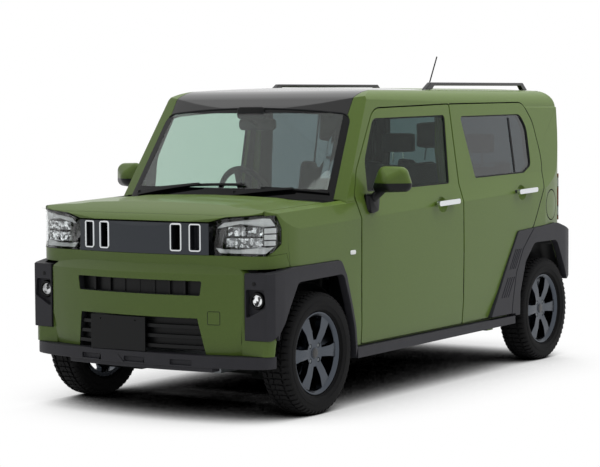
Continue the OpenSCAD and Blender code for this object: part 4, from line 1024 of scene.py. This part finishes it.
def swell(pad, most):
    """Blows the pad up by cloth pressure; no point moves further than most."""
    only(pad)
    rest = [corner.co.copy() for corner in pad.data.vertices]
    cloth = pad.modifiers.new("Cloth", "CLOTH")
    cloth.settings.use_pressure = True
    cloth.settings.uniform_pressure_force = 4
    cloth.settings.effector_weights.gravity = 0
    cloth.settings.quality = 4
    cloth.point_cache.frame_end = SWELL_FRAMES
    for frame_number in range(1, SWELL_FRAMES + 1):
        bpy.context.scene.frame_set(frame_number)
    bpy.ops.object.modifier_apply(modifier=cloth.name)
    bpy.context.scene.frame_set(1)
    for corner, start in zip(pad.data.vertices, rest):
        move = corner.co - start
        if move.length > most:
            corner.co = start + move.normalized() * most


class CAR_OT_seats(bpy.types.Operator):
    """Upholsters the front seats and the rear bench"""

    bl_idname = "car.seats"
    bl_label = "Seats"

    def execute(self, context):
        for station, rows in (("front", FRONT_PADS), ("rear", REAR_PADS)):
            for name, middle, half, bolster, outline in rows:
                pad = padded_form(f"{station}_{name}_left", middle, half, bolster, outline, station)
                for piece in both_sides(pad, "cloth", angle=60):
                    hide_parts(SEAT_SOLIDS[station])
        # Seat bases: station, middle x, half width, outline as y, z, in mm
        bases = [
            ("front", 330, 190, [(-290, 286), (-300, 530), (230, 530), (130, 286)]),
            ("rear", 255, 245, [(-468, 434), (-500, 522), (-16, 522), (-14, 434)]),
        ]
        for station, middle, half, outline in bases:
            points = [mm(middle - half, y + SEAT_Y[station], z) for y, z in outline]
            base = plate(f"{station}_base_left", points, mm(2 * half, 0, 0), edge=10, segments=3)
            for piece in both_sides(base, "trim"):
                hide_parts(SEAT_SOLIDS[station])
        # Headrest posts: station, x, foot y and z, top y and z, in mm
        posts = [("front", 280, 362, 1180, 384, 1262), ("front", 380, 362, 1180, 384, 1262)]
        posts += [("rear", 235, 8, 1145, 10, 1215), ("rear", 305, 8, 1145, 10, 1215)]
        for i, (station, x, y0, z0, y1, z1) in enumerate(posts):
            ends = [mm(x, y + SEAT_Y[station], z) for y, z in ((y0, z0), (y1, z1))]
            both_sides(tube(f"post_{i}_left", ends, 5.5 * MM), "chrome")
        return {"FINISHED"}


# Where the driver's chest is, in metres
DRIVER_Y = 0.25


def cabin_point(name, x, z):
    """The point of a solid that faces the driver, x and z in mm."""
    return draped(name, (x * MM, DRIVER_Y, z * MM), BACKWARD)


class CAR_OT_cabin(bpy.types.Operator):
    """Fits the dashboard's panels and vents, the inner mirror and the camera housing"""

    bl_idname = "car.cabin"
    bl_label = "Cabin trim"

    def execute(self, context):
        # Panels on the dashboard: name, middle x, middle z, width, height, corner, finish, in mm
        panels = [
            ("centre_screen", 0, 935, 210, 118, 8, "screen_glass"),
            ("dials", -320, 950, 230, 76, 20, "screen_glass"),
            ("vent_left", 470, 920, 120, 62, 14, "black_plastic"),
            ("vent_right", -500, 920, 80, 62, 14, "black_plastic"),
            ("climate_panel", 0, 830, 210, 62, 10, "gloss_black"),
            ("glove_box", 330, 830, 320, 110, 16, "black_plastic"),
        ]
        for name, x, z, width, height, corner, finish in panels:
            points = [tuple(cabin_point("dashboard", x + a, z + b)) for a, b in oval(width, height, corner)]
            settle(plate(name, points, mm(0, 7, 0), edge=2), finish)
        # Vent slats: middle x and length in mm
        for i, (x, length) in enumerate(((470, 100), (-500, 62))):
            slats = []
            for j in range(4):
                ends = [cabin_point("dashboard", x + a, 900 + 13 * j) for a in (-length / 2, length / 2)]
                ends = [tuple(end + Vector(mm(0, 9, 0))) for end in ends]
                slats.append(tube(f"slat_{i}_{j}", ends, 2.4 * MM))
            settle(joined(f"vent_slats_{i}", slats), "steel")

        # The inner mirror hangs from the windscreen, and the camera housing sits above it.
        glass = draped("windscreen", (0, 2, 1.42), BACKWARD)
        seat = glass + Vector(mm(0, 75, -30))
        points = [(seat.x + a * MM, seat.y, seat.z + b * MM) for a, b in oval(225, 62, 24)]
        mirror = plate("inner_mirror", points, mm(0, 22, 0), edge=5, segments=3)
        settle(mirror, "black_plastic")
        stalk = tube("mirror_stalk", [tuple(glass), tuple(seat + Vector(mm(0, 4, 0)))], 8 * MM)
        settle(stalk, "black_plastic")
        points = [(a * MM, glass.y + 16 * MM, 1.455 + b * MM) for a, b in oval(170, 66, 20)]
        eye = plate("screen_camera", points, mm(0, 60, 0), edge=8, segments=3)
        settle(eye, "black_plastic")
        return {"FINISHED"}


# Rear trim


def rear_point(name, x, z, proud=0):
    """A point proud of a solid's back, x and z in mm."""
    place = draped(name, (x * MM, -AHEAD, z * MM), BACKWARD)
    return (x * MM, place.y + proud * MM, z * MM)


class CAR_OT_rear_trim(bpy.types.Operator):
    """Adds the handle bar, rear wiper, stop lamp and reflectors at the back"""

    bl_idname = "car.rear_trim"
    bl_label = "Rear trim"

    def execute(self, context):
        # Flat pieces: name, solid, body, middle x, middle z, width, height, corner, thickness, finish
        rows = [
            ("handle_bar", "tailgate", "tailgate", 0, 968, 420, 34, 10, 14, "gloss_black"),
            ("stop_lamp", "tailgate", "tailgate", 0, 1492, 240, 16, 6, 5, "lamp_red"),
            ("reflector_left", "rear_bumper", "body", 520, 520, 110, 32, 8, 4, "lamp_red"),
            ("reflector_right", "rear_bumper", "body", -520, 520, 110, 32, 8, 4, "lamp_red"),
        ]
        for name, solid, body, x, z, width, height, corner, thick, finish in rows:
            points = [rear_point(solid, x + a, z + b) for a, b in oval(width, height, corner)]
            piece = plate(name, points, mm(0, thick, 0), edge=min(thick / 3, 3))
            settle(piece, finish, body)
        hub = rear_point("tailgate", 0, 1050, 8)
        blade = [rear_point("tailgate_glass", x, 1115 + x * 0.1, 10) for x in (-30, 120, 280)]
        arm = tube("rear_wiper_arm", [hub, blade[1]], 6 * MM)
        rubber = tube("rear_wiper_blade", blade, 5 * MM)
        profile = [(0, 0.02, 0), (0.016, 0.018, 0), (0.02, 0.008, 0), (0.02, -0.01, 0)]
        cap = spun("rear_wiper_cap", profile, FORWARD, 32)
        shift(cap, (hub[0], hub[1] - 0.008, hub[2]))
        settle(joined("rear_wiper", [arm, rubber, cap]), "black_plastic", "tailgate")
        return {"FINISHED"}


def straight_view(tree):
    """1 for rays from the eye, and for what metal and glass show it of the surroundings, else 0."""
    path = node(tree, "LightPath").outputs
    seen = path["Is Camera Ray"]
    for kind in ("Is Glossy Ray", "Is Transmission Ray"):
        seen = node(tree, "Math", {0: path[kind], 1: seen}, operation="MAXIMUM")
    # Light that cloth and trim gather through the windows stays at the room's level.
    first = node(tree, "Math", {0: path["Diffuse Depth"], 1: 0.5}, operation="LESS_THAN")
    return node(tree, "Math", {0: seen, 1: first}, operation="MULTIPLY")


class CAR_OT_stage(bpy.types.Operator):
    """Lays the pale floor, hangs the soft lights and sets the camera at the photograph's angle"""

    bl_idname = "car.stage"
    bl_label = "Stage"

    def execute(self, context):
        scene = context.scene
        free()
        bpy.ops.mesh.primitive_plane_add(size=60)
        floor = context.object
        floor.name = "stage_floor"
        made, tree, _ = new_material("pale_floor")
        seen = straight_view(tree)
        # The open floor is white to the eye, and a painted shadow, taken from ambient occlusion, darkens it
        # under and round the car.
        painted_shadow_ao = node(tree, "AmbientOcclusion", {"Distance": 1.1}, samples=16)
        span = {"Value": painted_shadow_ao.outputs["AO"], "From Min": 0.12, "From Max": 0.8}
        painted_shadow_strength = node(tree, "MapRange", span, interpolation_type="SMOOTHSTEP")
        glow = node(tree, "Emission", {"Color": (1, 1, 1, 1), "Strength": painted_shadow_strength})
        matt = node(tree, "BsdfDiffuse", {"Color": linear("#dcdcda")})
        shader = node(tree, "MixShader", {0: seen, 1: matt, 2: glow})
        node(tree, "OutputMaterial", {"Surface": shader})
        floor.data.materials.append(made)

        world = bpy.data.worlds.new("studio")
        scene.world = world
        world.use_nodes = True
        tree = world.node_tree
        tree.nodes.clear()
        level = node(tree, "MapRange", {"Value": straight_view(tree), "To Min": 0.27, "To Max": 1.0})
        sky = node(tree, "Background", {"Color": (1, 1, 1, 1), "Strength": level})
        node(tree, "OutputWorld", {"Surface": sky})

        # Softboxes: name, place, what it faces, width, length, power in W
        boxes = [
            ("roof_box", (1.3, 0.8, 5.3), (0.2, 0.2, 0.3), 4.6, 8.0, 385),
            ("front_box", (2.5, -8, 3.2), (0, -1, 0.8), 5.0, 3.0, 90),
            ("side_box", (7.5, 1.5, 3.0), (0, 0.3, 0.7), 6.0, 2.5, 25),
        ]
        for name, place, aim, width, length, power in boxes:
            bpy.ops.object.light_add(type="AREA", location=place)
            lamp = context.object
            lamp.name = name
            lamp.rotation_euler = (Vector(aim) - Vector(place)).to_track_quat("-Z", "Y").to_euler()
            lamp.data.shape = "RECTANGLE"
            lamp.data.size = width
            lamp.data.size_y = length
            lamp.data.energy = power
            # Paint and glass mirror the white surroundings, not the lamps' edges.
            lamp.visible_glossy = False

        # The camera that the photograph was fitted with: pitch, roll and yaw in degrees
        turn = [math.radians(angle) for angle in (86.316, 0.338, 32.958)]
        bpy.ops.object.camera_add(location=(5.842, -9.2235, 1.4933), rotation=turn)
        scene.camera = context.object
        scene.camera.data.lens = 119.25
        scene.view_settings.view_transform = "Standard"
        return {"FINISHED"}


OPERATORS = [
    CAR_OT_finish, CAR_OT_tyres, CAR_OT_wheel_trim, CAR_OT_headlamps, CAR_OT_fog_lamps, CAR_OT_front_trim,
    CAR_OT_seals, CAR_OT_mirror_glass, CAR_OT_filler, CAR_OT_seats, CAR_OT_cabin, CAR_OT_rear_trim,
    CAR_OT_stage,
]


class CAR_PT_panel(bpy.types.Panel):
    """Lists the car's colours, sizes and building steps"""

    bl_idname = "CAR_PT_panel"
    bl_label = "Car"
    bl_space_type = "VIEW_3D"
    bl_region_type = "UI"
    bl_category = "Car"

    def draw(self, context):
        for group in (context.scene.car_colours, context.scene.car_sizes):
            for name in group.__annotations__:
                self.layout.prop(group, name)
        for step in OPERATORS:
            self.layout.operator(step.bl_idname)


CLASSES = [CarColours, CarSizes, *OPERATORS, CAR_PT_panel]


def register():
    for cls in CLASSES:
        bpy.utils.register_class(cls)
    bpy.types.Scene.car_colours = bpy.props.PointerProperty(type=CarColours)
    bpy.types.Scene.car_sizes = bpy.props.PointerProperty(type=CarSizes)


def unregister():
    del bpy.types.Scene.car_colours
    del bpy.types.Scene.car_sizes
    for cls in reversed(CLASSES):
        bpy.utils.unregister_class(cls)


def main():
    """Runs every step in order."""
    register()
    for step in OPERATORS:
        getattr(bpy.ops.car, step.bl_idname.removeprefix("car."))()


if __name__ == "__main__":
    main()
